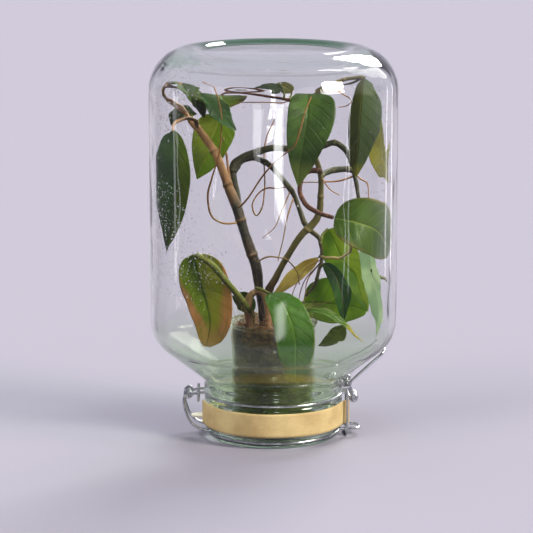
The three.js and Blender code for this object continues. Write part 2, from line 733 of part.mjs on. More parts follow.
// The leaves. A stalk runs from its stem or from the soil to the leaf, with its radius.
const UP_FRONT = [0, -0.5, 0.85];
const leaves = [
  {
    name: "leaf_top_left",
    look: BRIGHT_LEAF,
    rib: [[-77, -8, 262.5], [-64, -9, 259], [-54, -8, 248], [-49.5, -4, 235]],
    left: 8,
    right: 8,
    face: [[-0.1, -0.2, 1], [0.3, -0.5, 0.8], [0.5, -0.8, 0.3]],
    belly: 0.5,
  },
  {
    name: "leaf_left_back",
    look: BRIGHT_LEAF,
    rib: [[-37, 26, 252], [-37, 18, 251], [-36, 6, 245], [-36, 0, 240]],
    left: 13,
    right: 18,
    face: UP_FRONT,
    belly: 0.42,
    cup: 6,
  },
  {
    name: "leaf_left_glossy",
    look: LEAF,
    rib: [[-52, -14, 256], [-44, -12, 248], [-35, -11, 236], [-26, -11, 227]],
    left: 12,
    right: 8,
    wave: 1.6,
    face: [0.4, -0.8, 0.5],
    belly: 0.45,
    cup: 24,
  },
  {
    name: "leaf_left_bright",
    look: BRIGHT_LEAF,
    rib: [[-40, 12, 234], [-43, 10, 224], [-48, 8, 209], [-55, 7, 189]],
    left: 14,
    right: 16,
    tip: 0.9,
    belly: 0.24,
    cup: 8,
  },
  {
    name: "leaf_left_long",
    look: LEAF,
    rib: [[-72, -15, 228], [-70, -22, 207], [-71, -22, 174], [-77, -13, 138]],
    left: 14,
    right: 12,
    tip: 1.2,
    belly: 0.36,
    cup: 22,
  },
  {
    name: "leaf_left_high",
    look: LEAF,
    stalk: [[-57, 3.5, 230], [-57, 7.5, 233.5], [-58, 10, 235.5]],
    stalkR: [0.9, 0.9],
    rib: [[-55, 10, 236], [-63, 10, 235.5], [-71, 9, 233], [-76.5, 7, 228]],
    left: 8,
    right: 4,
    belly: 0.45,
  },
  {
    name: "leaf_low_left",
    look: RED_LEAF,
    stalk: [
      [-16, -9, 76], [-17, -11, 88], [-20, -18, 99], [-28, -28, 113], [-37, -35, 125],
      [-45, -38, 135], [-55, -37, 141],
    ],
    stalkR: [2.4, 2.1],
    rib: [[-57, -36, 141], [-54, -31, 127], [-48.5, -26, 105.5], [-45.5, -23, 88], [-49, -18, 67.5]],
    left: 15,
    right: 20,
    belly: 0.36,
    tip: 0.62,
    cup: 10,
  },
  {
    name: "leaf_front",
    look: LEAF,
    stalk: [[-11, -6, 108], [-12, -13, 112], [-8, -19, 112], [-2.5, -21, 109.5]],
    stalkR: [1.4, 1.1],
    rib: [[-3, -20, 109.5], [7, -36, 105], [14, -41, 90], [16, -41, 70], [16, -40, 50]],
    left: 14,
    right: 14,
    face: [[0, -0.5, 0.9], [0, -0.9, 0.5], [0, -1, 0.1]],
    belly: 0.55,
    tip: 0.4,
    cup: 0,
  },
  {
    name: "leaf_front_blade",
    look: BRIGHT_LEAF,
    stalk: [[15, -14, 76], [16, -17, 88], [18, -24, 96]],
    stalkR: [1.2, 1.0],
    rib: [[18, -24, 96], [28, -29, 98.5], [41, -31, 95], [53, -30, 86], [65, -26, 73]],
    left: 3.4,
    right: 3.4,
    face: [0.2, -0.5, 0.85],
    belly: 0.4,
    cup: 18,
  },
  {
    name: "leaf_low_right",
    look: OLIVE_LEAF,
    stalk: [[20, 6, 76], [21, 7, 88], [33, 8, 92], [46, 10, 87.5], [53, 11, 79]],
    stalkR: [1.0, 0.9],
    rib: [[53, 11, 78.5], [47.5, 11, 72.5], [40, 11, 66.5], [33, 11, 62]],
    left: 6.5,
    right: 6.5,
    belly: 0.45,
  },
  {
    name: "leaf_right_back",
    look: BRIGHT_LEAF,
    stalk: [[11, 13, 76], [11, 15, 86], [15, 21, 93], [24, 25, 94]],
    stalkR: [1.2, 1.1],
    rib: [[23, 25, 94], [42, 33, 91], [58, 34, 89], [70, 31, 86]],
    left: 15,
    right: 20,
    belly: 0.45,
    tip: 0.5,
    cup: 6,
  },
  {
    name: "leaf_right_low",
    look: BRIGHT_LEAF,
    stalk: [[34, 9, 141], [36, 14, 146], [40, 17, 150]],
    stalkR: [1.2, 1.1],
    rib: [[40, 17, 150], [50, 20, 131], [62, 18, 110], [70, 14, 89]],
    left: 14,
    right: 13,
    belly: 0.32,
    cup: 8,
  },
  {
    name: "leaf_right_dark",
    look: LEAF,
    stalk: [[34, 5, 124], [36, 2, 126.5], [38, -1, 127]],
    stalkR: [1.1, 1.0],
    rib: [[36, -0.5, 127.5], [42, -4, 123.5], [49, -6, 113], [51.5, -6, 102], [52, -3, 85]],
    left: 8,
    right: 6,
    belly: 0.4,
    cup: 20,
  },
  {
    name: "leaf_round",
    look: LEAF,
    rib: [[43, -39, 168], [58, -46, 166], [72, -40, 159], [83, -20, 140]],
    left: 19,
    right: 20,
    face: [[0.2, -1, 0.3], [0.5, -1, 0.2], [0.9, -0.8, 0.1]],
    belly: 0.45,
    tip: 0.55,
    cup: 4,
  },
  {
    name: "leaf_right_tall",
    look: LEAF,
    rib: [[66, -0.2, 147.3], [70.5, 0, 128], [74.5, 1, 105], [77.5, 3, 85], [77, 5, 70]],
    left: 8,
    right: 9,
    face: [-0.7, -0.7, 0.1],
    belly: 0.4,
    spur: [[71, 0, 123], [79, 2, 117], [82, 1, 116], [84, 0, 114]],
  },
  {
    name: "leaf_top_right",
    look: LEAF,
    rib: [[63, -25, 269], [62, -33, 255], [60, -37, 230], [58, -30, 194]],
    left: 8,
    right: 16,
    face: [[0.1, -0.9, 0.4], [0.2, -1, 0.2], [0.3, -1, 0.1]],
    belly: 0.42,
    cup: -14,
  },
  {
    name: "leaf_right_yellow",
    look: BRIGHT_LEAF,
    stalk: [[62, -20, 267.5], [65, -14, 264], [71, -2, 253], [76, 6, 236]],
    stalkR: [1.0, 0.9],
    rib: [[76, 6, 237], [79, 9, 213], [82, 8, 195], [84, 5, 186]],
    left: 11,
    right: 5,
    belly: 0.5,
  },
  {
    name: "leaf_centre",
    look: LEAF,
    stalk: [[28, -16, 254], [27, -26, 256.5], [25, -38, 257]],
    stalkR: [1.3, 1.2],
    rib: [[24.5, -37, 258.5], [24, -48, 244], [20, -54, 222], [17, -48, 192]],
    left: 14,
    right: 19,
    belly: 0.24,
    tip: 0.9,
    cup: 10,
  },
  {
    name: "leaf_small_dark",
    look: LEAF,
    stalk: [[7, 6, 250], [7.6, 4.6, 255], [6, 4, 259]],
    stalkR: [0.9, 0.8],
    rib: [[7, 4, 259], [-3, 4, 261.5], [-14, 2, 257]],
    left: 6,
    right: 6,
    belly: 0.4,
  },
  {
    name: "leaf_small_olive",
    look: OLIVE_LEAF,
    stalk: [[11, 4, 250], [12.4, 8, 253], [12.7, 8.2, 257]],
    stalkR: [0.9, 0.9],
    rib: [[12.7, 8, 256], [7, 10, 263.5], [0, 8, 265]],
    left: 6,
    right: 7,
    belly: 0.42,
  },
  {
    name: "leaf_back_olive",
    look: OLIVE_LEAF,
    stalk: [[35, 8, 132], [34, 12, 131], [33, 15, 129]],
    stalkR: [1.0, 0.9],
    rib: [[32.5, 14, 129], [23, 19, 120.5], [12, 19, 111], [-2, 18, 99]],
    left: 5,
    right: 6,
    belly: 0.42,
  },
  {
    name: "leaf_crown",
    look: BRIGHT_LEAF,
    stalk: [[-14, 8, 76], [-15, 8, 87], [-16, 8, 90]],
    stalkR: [1.0, 0.9],
    rib: [[-16, 8, 89], [-22, 7, 98], [-30, 2, 103]],
    left: 7,
    right: 7,
    belly: 0.45,
  },
];

const stalks = [];
for (const leaf of leaves) {
  let whole = blade(leaf);
  if (leaf.stalk) {
    whole = whole.add(limb({ path: leaf.stalk, r: leaf.stalkR }));
    stalks.push(around({ path: leaf.stalk, r: leaf.stalkR }));
  }
  if (leaf.spur) whole = whole.add(bar(leaf.spur, [1.4, 1.0]));
  for (const stem of Object.values(swollen)) whole = whole.subtract(stem);
  add(leaf.name, largest(whole), leaf.look);
}

// The root ball, with a plain hole for each stem and stalk that is rooted in it.
let roots = lathe([
  [0, POT_LOW + 1.6],
  [POT_FOOT_R - POT_WALL - 1.8, POT_LOW + 1.6],
  [POT_FOOT_R - POT_WALL - 0.5, POT_LOW + 3],
  [POT_RIM_R - 0.9 - POT_WALL - 0.5, POT_HIGH - 4],
  [POT_RIM_R - 3.4, SOIL_HIGH - 1.6],
  [12, SOIL_HIGH - 0.4],
  [0, SOIL_HIGH],
]);
for (const hole of [...Object.values(swollen), ...stalks]) roots = roots.subtract(hole);
add("root_ball", largest(roots), SOIL);

export default part;
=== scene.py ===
"""Looks for a glass plant terrarium: a swing-top preserving jar that stands upside down on its lid,
with a climbing plant in a clear pot inside. Routes and profiles are in millimetres."""

import math

import bmesh
import bpy
import numpy as np
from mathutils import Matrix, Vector, noise


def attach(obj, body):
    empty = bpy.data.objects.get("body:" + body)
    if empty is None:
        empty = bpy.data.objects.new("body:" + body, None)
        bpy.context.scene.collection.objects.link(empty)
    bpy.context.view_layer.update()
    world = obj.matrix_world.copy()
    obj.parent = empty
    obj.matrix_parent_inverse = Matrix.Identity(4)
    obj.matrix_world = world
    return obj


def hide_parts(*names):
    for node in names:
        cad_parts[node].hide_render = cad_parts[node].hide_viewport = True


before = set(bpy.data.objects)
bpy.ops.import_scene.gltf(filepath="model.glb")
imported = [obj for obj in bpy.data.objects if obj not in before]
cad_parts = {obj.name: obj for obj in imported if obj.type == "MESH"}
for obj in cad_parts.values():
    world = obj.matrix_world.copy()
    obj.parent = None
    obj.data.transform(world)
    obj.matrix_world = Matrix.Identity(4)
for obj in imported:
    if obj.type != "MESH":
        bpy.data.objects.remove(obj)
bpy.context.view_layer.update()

# ---- Camera -------------------------------------------------------------------------------------
# A long lens in front of the jar, a little above it and turned slightly down. It stands far off, so
# that the sides of the jar stay upright.

LOOK_DOWN = 0.189
camera = bpy.data.objects.new("camera", bpy.data.cameras.new("camera"))
camera.data.sensor_width = 36
camera.data.lens = 169.6
camera.data.clip_end = 30
camera.location = (-0.005, -1.8, 0.4694)
camera.rotation_euler = (math.pi / 2 - LOOK_DOWN, 0, 0)
bpy.context.scene.collection.objects.link(camera)
bpy.context.scene.camera = camera

# ---- Glass lid ----------------------------------------------------------------------------------
# The pressed lid is the foot of the terrarium. It stands on a ground ring, and a rim inside it
# centres the seal. Pressed soda-lime glass is clear, and green where the light runs along it.

MM = 0.001


def link(name, mesh):
    """An object in the scene for a mesh or a curve."""
    piece = bpy.data.objects.new(name, mesh)
    bpy.context.scene.collection.objects.link(piece)
    return piece


def piece_of(name, points, faces):
    """A smooth closed piece from points in millimetres, with its faces turned outwards."""
    mesh = bpy.data.meshes.new(name)
    mesh.from_pydata((np.array(points) * MM).tolist(), [], faces)
    shell = bmesh.new()
    shell.from_mesh(mesh)
    bmesh.ops.recalc_face_normals(shell, faces=shell.faces)
    shell.to_mesh(mesh)
    shell.free()
    mesh.shade_smooth()
    return link(name, mesh)


def rounded(profile, reach, steps=4, closed=None):
    """A profile of radius and height with its corners rounded off. It closes unless it starts at 0."""
    points = [np.array(p, float) for p in profile]
    if closed is None:
        closed = points[0][0] > 0
    soft = []
    for i, corner in enumerate(points):
        if not closed and i in (0, len(points) - 1):
            soft.append(corner)
            continue
        before = points[i - 1] - corner
        after = points[(i + 1) % len(points)] - corner
        start = corner + before * min(reach / np.linalg.norm(before), 0.45)
        end = corner + after * min(reach / np.linalg.norm(after), 0.45)
        for t in np.linspace(0, 1, steps):
            soft.append((1 - t) ** 2 * start + 2 * t * (1 - t) * corner + t * t * end)
    return soft


def turned(name, profile, around=144, wobble=None):
    """A body turned about the jar's axis. A profile that doesn't start on the axis closes on itself."""
    points, rings = [], []
    for r, z in profile:
        first = len(points)
        count = 1 if r < 1e-6 else around
        rings.append([first + k for k in range(count)])
        for k in range(count):
            a = 2 * math.pi * k / around
            reach = r - (wobble(r, z, a) if wobble and count > 1 else 0)
            points.append((reach * math.cos(a), reach * math.sin(a), z))
    if len(rings[0]) > 1:
        rings.append(rings[0])
    faces = []
    for low, high in zip(rings, rings[1:]):
        for k in range(around):
            a, b = low[k % len(low)], low[(k + 1) % len(low)]
            c, d = high[(k + 1) % len(high)], high[k % len(high)]
            faces.append(list(dict.fromkeys((a, b, c, d))))
    return piece_of(name, points, [f for f in faces if len(f) > 2])


class Value:
    """A socket that arithmetic adds Math nodes to."""

    def __init__(self, wiring, socket):
        self.wiring = wiring
        self.socket = socket

    def math(self, operation, *others):
        return self.wiring.node("ShaderNodeMath", {"operation": operation}, [self, *others])

    def __add__(self, other):
        return self.math("ADD", other)

    def __sub__(self, other):
        return self.math("SUBTRACT", other)

    def __rsub__(self, other):
        return self.wiring.node("ShaderNodeMath", {"operation": "SUBTRACT"}, [other, self])

    def __mul__(self, other):
        return self.math("MULTIPLY", other)

    def __truediv__(self, other):
        return self.math("DIVIDE", other)

    def __pow__(self, other):
        return self.math("POWER", other)

    def __abs__(self):
        return self.math("ABSOLUTE")

    __radd__ = __add__
    __rmul__ = __mul__

    def band(self, start, end):
        """0 before start and 1 past end, with a smooth step between them."""
        settings = {"interpolation_type": "SMOOTHSTEP"}
        sockets = {"Value": self, "From Min": start, "From Max": end}
        return self.wiring.node("ShaderNodeMapRange", settings, sockets)

    def part(self, letter):
        """One number of a vector."""
        return self.wiring.node("ShaderNodeSeparateXYZ", {}, [self], output=letter)

    def clamp(self):
        return self.wiring.node("ShaderNodeClamp", {}, {"Value": self})


class Wiring:
    """A node tree of a material or of Geometry Nodes."""

    def __init__(self, tree):
        self.tree = tree

    def node(self, kind, settings=(), sockets=(), output=0):
        """The output of a new node, with its settings made first and then its sockets linked or set."""
        made = self.tree.nodes.new(kind)
        for key, value in dict(settings).items():
            setattr(made, key, value)
        pairs = sockets.items() if isinstance(sockets, dict) else enumerate(sockets)
        for key, value in pairs:
            if isinstance(value, Value):
                self.tree.links.new(value.socket, made.inputs[key])
            else:
                made.inputs[key].default_value = value
        return Value(self, made.outputs[output])


def tint(code):
    """A linear colour from a six-figure code."""
    parts = [int(code[i : i + 2], 16) / 255 for i in (0, 2, 4)]
    return (*[p / 12.92 if p <= 0.04045 else ((p + 0.055) / 1.055) ** 2.4 for p in parts], 1.0)


class Look(Wiring):
    """A material, whose nodes read the piece's own coordinates."""

    def __init__(self, name):
        self.material = bpy.data.materials.new(name)
        self.material.use_nodes = True
        super().__init__(self.material.node_tree)
        self.tree.nodes.clear()

    def place(self, stretch=(1, 1, 1)):
        """Object coordinates in metres, stretched along each axis."""
        plain = self.node("ShaderNodeTexCoord", output="Object")
        return self.node("ShaderNodeMapping", {}, {"Vector": plain, "Scale": stretch})

    def axis(self, letter):
        return self.node("ShaderNodeTexCoord", output="Object").part(letter)

    def noise(self, scale, detail=3.0, where=None):
        sockets = {"Scale": scale, "Detail": detail, "Vector": where or self.place()}
        return self.node("ShaderNodeTexNoise", {}, sockets, output="Fac")

    def mix(self, factor, first, second):
        settings = {"data_type": "RGBA", "clamp_factor": True}
        return self.node("ShaderNodeMix", settings, {0: factor, 6: first, 7: second}, output=2)

    def bump(self, height, distance):
        return self.node("ShaderNodeBump", {}, {"Height": height, "Distance": distance})

    def principled(self, **sockets):
        named = {key.replace("_", " "): value for key, value in sockets.items()}
        return self.node("ShaderNodeBsdfPrincipled", {}, named)

    def blend(self, factor, first, second):
        return self.node("ShaderNodeMixShader", {}, [factor, first, second])

    def coated(self, **sockets):
        """The finished material, where one Principled node is all of its surface."""
        return self.done(self.principled(**sockets))

    def done(self, surface, volume=None):
        sockets = {"Surface": surface} | ({"Volume": volume} if volume else {})
        end = self.tree.nodes.new("ShaderNodeOutputMaterial")
        for key, value in sockets.items():
            self.tree.links.new(value.socket, end.inputs[key])
        return self.material


def clear_look(name, colour, ior, roughness=0.0, waves=None, green=0.0):
    """A clear material that lets lamp light straight through to what is behind it."""
    look = Look(name)
    sockets = {"Roughness": roughness, "IOR": ior, "Transmission_Weight": 1.0}
    sockets["Base_Color"] = colour(look) if callable(colour) else colour
    if waves:
        scale, stretch, depth = waves
        sockets["Normal"] = look.bump(look.noise(scale, 2.0, look.place(stretch)), depth)
    body = look.principled(**sockets)
    lamp_ray = look.node("ShaderNodeLightPath", output="Is Shadow Ray")
    open_way = look.node("ShaderNodeBsdfTransparent", {}, {"Color": (0.94, 0.97, 0.95, 1)})
    depth_tint = None
    if green:
        sockets = {"Color": tint("84c894"), "Density": green}
        depth_tint = look.node("ShaderNodeVolumeAbsorption", {}, sockets)
    return look.done(look.blend(lamp_ray, body, open_way), depth_tint)


LID_R = 50.2
LID_TOP = 12.2
LID_FLOOR = 5.2
lid_profile = [(0, 1), (37, 1), (38.5, 0), (46, 0), (47.9, 1.8), (47.9, 2.8), (47.2, 3.2), (47.2, 5.7)]
lid_profile += [(LID_R - 0.4, 6.7), (LID_R, 7.4), (LID_R, LID_TOP), (44.3, LID_TOP), (44.3, LID_TOP + 4)]
lid_profile += [(41.5, LID_TOP + 4), (41.1, LID_FLOOR + 1), (39.5, LID_FLOOR), (0, LID_FLOOR)]
lid = turned("glass_lid", rounded(lid_profile, 0.7))
lid_glass = clear_look("pressed_glass", tint("fbfefc"), 1.5, waves=(60, (1, 1, 2), 0.0004), green=9)
lid.data.materials.append(lid_glass)
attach(lid, "jar")
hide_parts("lid_glass")

# ---- Sealing ring -------------------------------------------------------------------------------
# A flat ring of pale translucent rubber lies between the lid and the ground mouth of the jar. Its
# tab sticks out at the hinge, to break the seal by.

SEAL_LOW = 12.55
SEAL_HIGH = 14.65
SEAL_IN = 44.8
TAB_R = 5.5
TAB_REACH = 55.0
TAB_THICK = 1.3
seal_profile = [(SEAL_IN, SEAL_LOW), (LID_R, SEAL_LOW), (LID_R, SEAL_HIGH), (SEAL_IN, SEAL_HIGH)]
ring = turned("rubber_ring", rounded(seal_profile, 0.4))
tab_outline = [(-LID_R + 1.5, -5.0), (-LID_R + 1.5, 5.0)]
for step in range(15):
    turn = math.radians(90 + 180 * step / 14)
    tab_outline.append((-TAB_REACH + TAB_R * math.cos(turn), TAB_R * math.sin(turn)))
tab = bpy.data.meshes.new("rubber_tab")
shell = bmesh.new()
outline = [shell.verts.new((x * MM, y * MM, (SEAL_LOW + 0.4) * MM)) for x, y in tab_outline]
sole = shell.faces.new(outline)
raised = bmesh.ops.extrude_face_region(shell, geom=[sole])["geom"]
tops = [v for v in raised if isinstance(v, bmesh.types.BMVert)]
bmesh.ops.translate(shell, verts=tops, vec=(0, 0, TAB_THICK * MM))
bmesh.ops.recalc_face_normals(shell, faces=shell.faces)
shell.to_mesh(tab)
shell.free()
tab = link("rubber_tab", tab)
soften = tab.modifiers.new("soften", "BEVEL")
soften.width = 0.35 * MM
soften.segments = 3
look = Look("pale_rubber")
cloud = look.noise(90, 3.0)
rubber = look.coated(
    Base_Color=look.mix(cloud, tint("cfc8ad"), tint("e6e1d0")),
    Roughness=0.42,
    Subsurface_Weight=0.25,
    Subsurface_Radius=(0.002, 0.002, 0.0015),
    Normal=look.bump(look.noise(700, 2.0), 0.0001),
)
for part in (ring, tab):
    part.data.materials.append(rubber)
    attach(part, "jar")
    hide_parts("seal_ring")

# ---- Nursery pot --------------------------------------------------------------------------------
# A thin clear plastic pot with a rolled rim and shallow ribs, shaped in a mould. It stands on the
# glass lid and holds the root ball.

POT_RIM_R = 31.9
POT_FOOT_R = 29.6
POT_LOW = 5.6
POT_HIGH = 85.0
POT_WALL = 0.7
POT_TOP_R = POT_RIM_R - 0.9


def pot_side(height):
    """The radius of the tapered wall between its ribs."""
    return POT_FOOT_R + (POT_TOP_R - POT_FOOT_R) * (height - POT_LOW) / (POT_HIGH - POT_LOW)


pot_outside = [(0, POT_LOW), (POT_FOOT_R - 1.2, POT_LOW), (POT_FOOT_R, POT_LOW + 1.2)]
for rib in (20, 36, 52, 68):
    pot_outside += [(pot_side(rib), rib - 2.0), (pot_side(rib) - 0.4, rib), (pot_side(rib), rib + 2.0)]
pot_outside += [(POT_TOP_R, POT_HIGH - 3.2), (POT_RIM_R, POT_HIGH - 2.2), (POT_RIM_R, POT_HIGH)]
pot_inside = [(r - POT_WALL, max(z, POT_LOW + 1.0)) for r, z in pot_outside[1:-2]]
pot_profile = pot_outside + [(POT_TOP_R, POT_HIGH)] + pot_inside[::-1] + [(0, POT_LOW + 1.0)]
pot = turned("clear_pot", rounded(pot_profile, 0.5, 3), around=112)
pot_plastic = clear_look("pot_plastic", tint("dadec2"), 1.38, 0.1, waves=(140, (1, 1, 0.3), 0.0003))
pot.data.materials.append(pot_plastic)
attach(pot, "jar")
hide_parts("nursery_pot")

# ---- Root ball ----------------------------------------------------------------------------------
# Coir and bark that fill the pot, held together by the roots. It is brown and dry at the top, olive in
# the middle and green and wet at the bottom, with fine pale roots against the wall.

SOIL_TOP = 83.0
SOIL_LOW = 7.3


def soil_side(height):
    """The radius of the root ball, which stands clear of the pot's wall."""
    return pot_side(height) - POT_WALL - 1.0


def soil_lumps(r, z, a):
    """How far the root ball falls short of its profile."""
    where = Vector((r * math.cos(a) / 5, r * math.sin(a) / 5, z / 5))
    return 0.7 * (noise.noise(where) + 0.6 * noise.noise(where * 2.7)) + 0.4


ROUGH_TOP = 3.2
soil_profile = [(0, SOIL_LOW), (soil_side(8) - 2, SOIL_LOW)]
soil_profile += [(soil_side(z), z) for z in np.linspace(SOIL_LOW + 1.5, SOIL_TOP - 3.5, 60)]
soil_profile += [(r, SOIL_TOP - 0.003 * (r - 6) ** 2) for r in np.linspace(soil_side(82) - 1.2, 0, 26)]
root_ball = turned("root_ball_coir", soil_profile, around=150, wobble=soil_lumps)
for vertex in root_ball.data.vertices:
    if vertex.co.z > (SOIL_TOP - ROUGH_TOP) * MM:
        lump = noise.noise(vertex.co * 190) + 0.7 * noise.noise(vertex.co * 520)
        vertex.co.z += 1.1 * MM * lump
look = Look("coir")
height = look.axis("Z")
grain = look.noise(420, 6.0)
patch = look.noise(70, 3.0)
dry = look.mix(grain.band(0.35, 0.65), tint("3f2c1e"), tint("8c6844"))
olive = look.mix(patch.band(0.4, 0.6), tint("4c4a28"), tint("746c3c"))
wet = look.mix(patch.band(0.35, 0.65), tint("2c3a18"), tint("5c682a"))
side = look.mix((height + 0.01 * patch).band(0.025, 0.058), wet, olive)
soil = look.mix((height + 0.008 * patch).band(0.066, 0.083), side, dry)
cells = {"Scale": 130.0, "Vector": look.place((1, 1, 0.45))}
threads = look.node("ShaderNodeTexVoronoi", {"feature": "DISTANCE_TO_EDGE"}, cells)
soil = look.mix(threads.band(0.035, 0.0) * 0.4, soil, tint("6f6548"))
lumpy = look.bump(grain + 0.6 * patch, 0.0012)
root_ball.data.materials.append(look.coated(Base_Color=soil, Roughness=0.85, Normal=lumpy))
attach(root_ball, "jar")
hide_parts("root_ball")

# ---- Stems and aerial roots ---------------------------------------------------------------------
# Woody climbing stems, ringed where leaves have dropped, and the thin roots that grow out of them
# and hang in the damp air. Each limb is a smooth path with its radii from the start to the end. Loose
# coir and hair roots on top of the pot are made in the same way.


def smooth_path(path, spacing, closed=False):
    """Points at even steps along a centripetal Catmull-Rom curve through the points given."""
    given = [np.array(p, float) for p in path]
    if closed:
        given = [given[-1], *given, given[0], given[1]]
    else:
        given = [2 * given[0] - given[1], *given, 2 * given[-1] - given[-2]]
    fine = []
    for a, b, c, d in zip(given, given[1:], given[2:], given[3:]):
        knots = [0.0]
        for one, two in ((a, b), (b, c), (c, d)):
            knots.append(knots[-1] + max(np.linalg.norm(two - one), 1e-6) ** 0.5)
        for t in np.linspace(knots[1], knots[2], 16, endpoint=False):
            ab = a + (b - a) * (t - knots[0]) / (knots[1] - knots[0])
            bc = b + (c - b) * (t - knots[1]) / (knots[2] - knots[1])
            cd = c + (d - c) * (t - knots[2]) / (knots[3] - knots[2])
            first = ab + (bc - ab) * (t - knots[0]) / (knots[2] - knots[0])
            second = bc + (cd - bc) * (t - knots[1]) / (knots[3] - knots[1])
            fine.append(first + (second - first) * (t - knots[1]) / (knots[2] - knots[1]))
    fine.append(given[1] if closed else given[-2])
    fine = np.array(fine)
    run = np.concatenate([[0], np.cumsum(np.linalg.norm(np.diff(fine, axis=0), axis=1))])
    count = max(int(run[-1] / spacing), 2) + 1
    even = np.linspace(0, run[-1], count)[: count - 1 if closed else count]
    return np.stack([np.interp(even, run, fine[:, k]) for k in range(3)], axis=1)


def tree_inputs(tree, names):
    """Adds named inputs and a geometry output to a Geometry Nodes tree, and gives the inputs."""
    tree.interface.new_socket("Geometry", in_out="OUTPUT", socket_type="NodeSocketGeometry")
    tree.interface.new_socket("Geometry", in_out="INPUT", socket_type="NodeSocketGeometry")
    for name, kind in names.items():
        tree.interface.new_socket(name, in_out="INPUT", socket_type="NodeSocket" + kind)
    wiring = Wiring(tree)
    group = tree.nodes.new("NodeGroupInput")
    return wiring, {name: Value(wiring, group.outputs[name]) for name in ("Geometry", *names)}


def tree_output(wiring, geometry, material):
    """Ends a tree in real geometry with its material."""
    real = wiring.node("GeometryNodeRealizeInstances", {}, [geometry])
    dressed = wiring.node("GeometryNodeSetMaterial", {}, {"Geometry": real, "Material": material})
    end = wiring.tree.nodes.new("NodeGroupOutput")
    wiring.tree.links.new(dressed.socket, end.inputs[0])


def grown(name, source, tree, inputs):
    """The plain mesh that a tree makes of an object. The object itself is deleted."""
    modifier = source.modifiers.new(name, "NODES")
    modifier.node_group = tree
    for item in tree.interface.items_tree:
        if item.in_out == "INPUT" and item.name in inputs:
            modifier[item.identifier] = inputs[item.name]
    ready = source.evaluated_get(bpy.context.evaluated_depsgraph_get())
    mesh = bpy.data.meshes.new_from_object(ready)
    mesh.name = name
    bpy.data.objects.remove(source)
    return link(name, mesh)


bar_tree = bpy.data.node_groups.new("bar_along_a_path", "GeometryNodeTree")
bar_sockets = {"Sides": "Int", "Lumps": "Float", "Lump Scale": "Float", "Material": "Material"}
tree, given = tree_inputs(bar_tree, bar_sockets)
length = tree.node("GeometryNodeSplineParameter", output="Length")
marked = tree.node(
    "GeometryNodeStoreNamedAttribute",
    {"data_type": "FLOAT", "domain": "POINT"},
    {"Geometry": given["Geometry"], "Name": "along", "Value": length},
)
circle = {"Resolution": given["Sides"], "Radius": 1.0}
sweep = {
    "Curve": marked,
    "Profile Curve": tree.node("GeometryNodeCurvePrimitiveCircle", {}, circle),
    "Scale": tree.node("GeometryNodeInputRadius"),
    "Fill Caps": True,
}
bar = tree.node("GeometryNodeCurveToMesh", {}, sweep)
lumps = tree.node("ShaderNodeTexNoise", {}, {"Scale": given["Lump Scale"], "Detail": 2.0})
outwards = {"Vector": tree.node("GeometryNodeInputNormal"), "Scale": (lumps - 0.5) * given["Lumps"]}
push = tree.node("ShaderNodeVectorMath", {"operation": "SCALE"}, outwards)
bar = tree.node("GeometryNodeSetPosition", {}, {"Geometry": bar, "Offset": push})
bar = tree.node("GeometryNodeSetShadeSmooth", {}, {"Geometry": bar})
tree_output(tree, bar, given["Material"])

RING_GAP = 27.0
RING_START = 9
THIN = 1.2
SOIL_IN = 78


def bars(name, limbs, material, sides=12, spacing=1.5, lumps=0.0, lump_scale=300.0, rings=0.0):
    """One piece from limbs: each a path, its radii from start to end, and True if it is a closed loop."""
    curve = bpy.data.curves.new(name, "CURVE")
    curve.dimensions = "3D"
    for path, radius, *loop in limbs:
        radii = radius if isinstance(radius, (list, tuple)) else (radius, radius)
        points = smooth_path(path, spacing, bool(loop))
        spline = curve.splines.new("POLY")
        spline.points.add(len(points) - 1)
        spline.use_cyclic_u = bool(loop)
        run = 0.0
        for i, point in enumerate(points):
            run += np.linalg.norm(point - points[i - 1]) if i else 0
            share = i / (len(points) - 1)
            swell = 1.0
            if rings and radii[0] > THIN:
                off = (run + RING_START) % rings - rings / 2
                swell += 0.16 * math.exp(-((off / 1.3) ** 2)) - 0.05 * math.exp(-((off / 6) ** 2))
            spline.points[i].co = (*(point * MM), 1)
            thick = np.interp(share, np.linspace(0, 1, len(radii)), radii)
            spline.points[i].radius = thick * swell * MM
    inputs = {"Sides": sides, "Lumps": lumps * MM, "Lump Scale": lump_scale, "Material": material}
    return grown(name, link(name + "_paths", curve), bar_tree, inputs)


def bark_look(name, low, high, change, scar, moss=None):
    """Stem skin that changes colour over a stretch of height, with pale rings at its scars."""
    look = Look(name)
    along = look.node("ShaderNodeAttribute", {"attribute_name": "along"}, output="Fac")
    fine = look.noise(900, 4.0, look.place((1, 1, 0.35)))
    patch = look.noise(120, 3.0)
    height = look.axis("Z") + 0.02 * patch
    skin = look.mix(height.band(change[0] * MM, change[1] * MM), tint(low), tint(high))
    skin = look.mix(patch.band(0.45, 0.7) * 0.45, skin, tint(moss or high))
    skin = look.mix(fine.band(0.5, 0.75) * 0.25, skin, tint("a88c70"))
    ring = abs((along * (1 / MM) + RING_START).math("MODULO", RING_GAP) - RING_GAP / 2)
    skin = look.mix(ring.band(1.3, 0.3) * 0.6, skin, tint(scar))
    return look.coated(
        Base_Color=skin,
        Roughness=0.42 + 0.3 * fine,
        Specular_IOR_Level=0.3,
        Normal=look.bump(fine + 0.8 * ring.band(1.6, 0.4), 0.0004),
    )


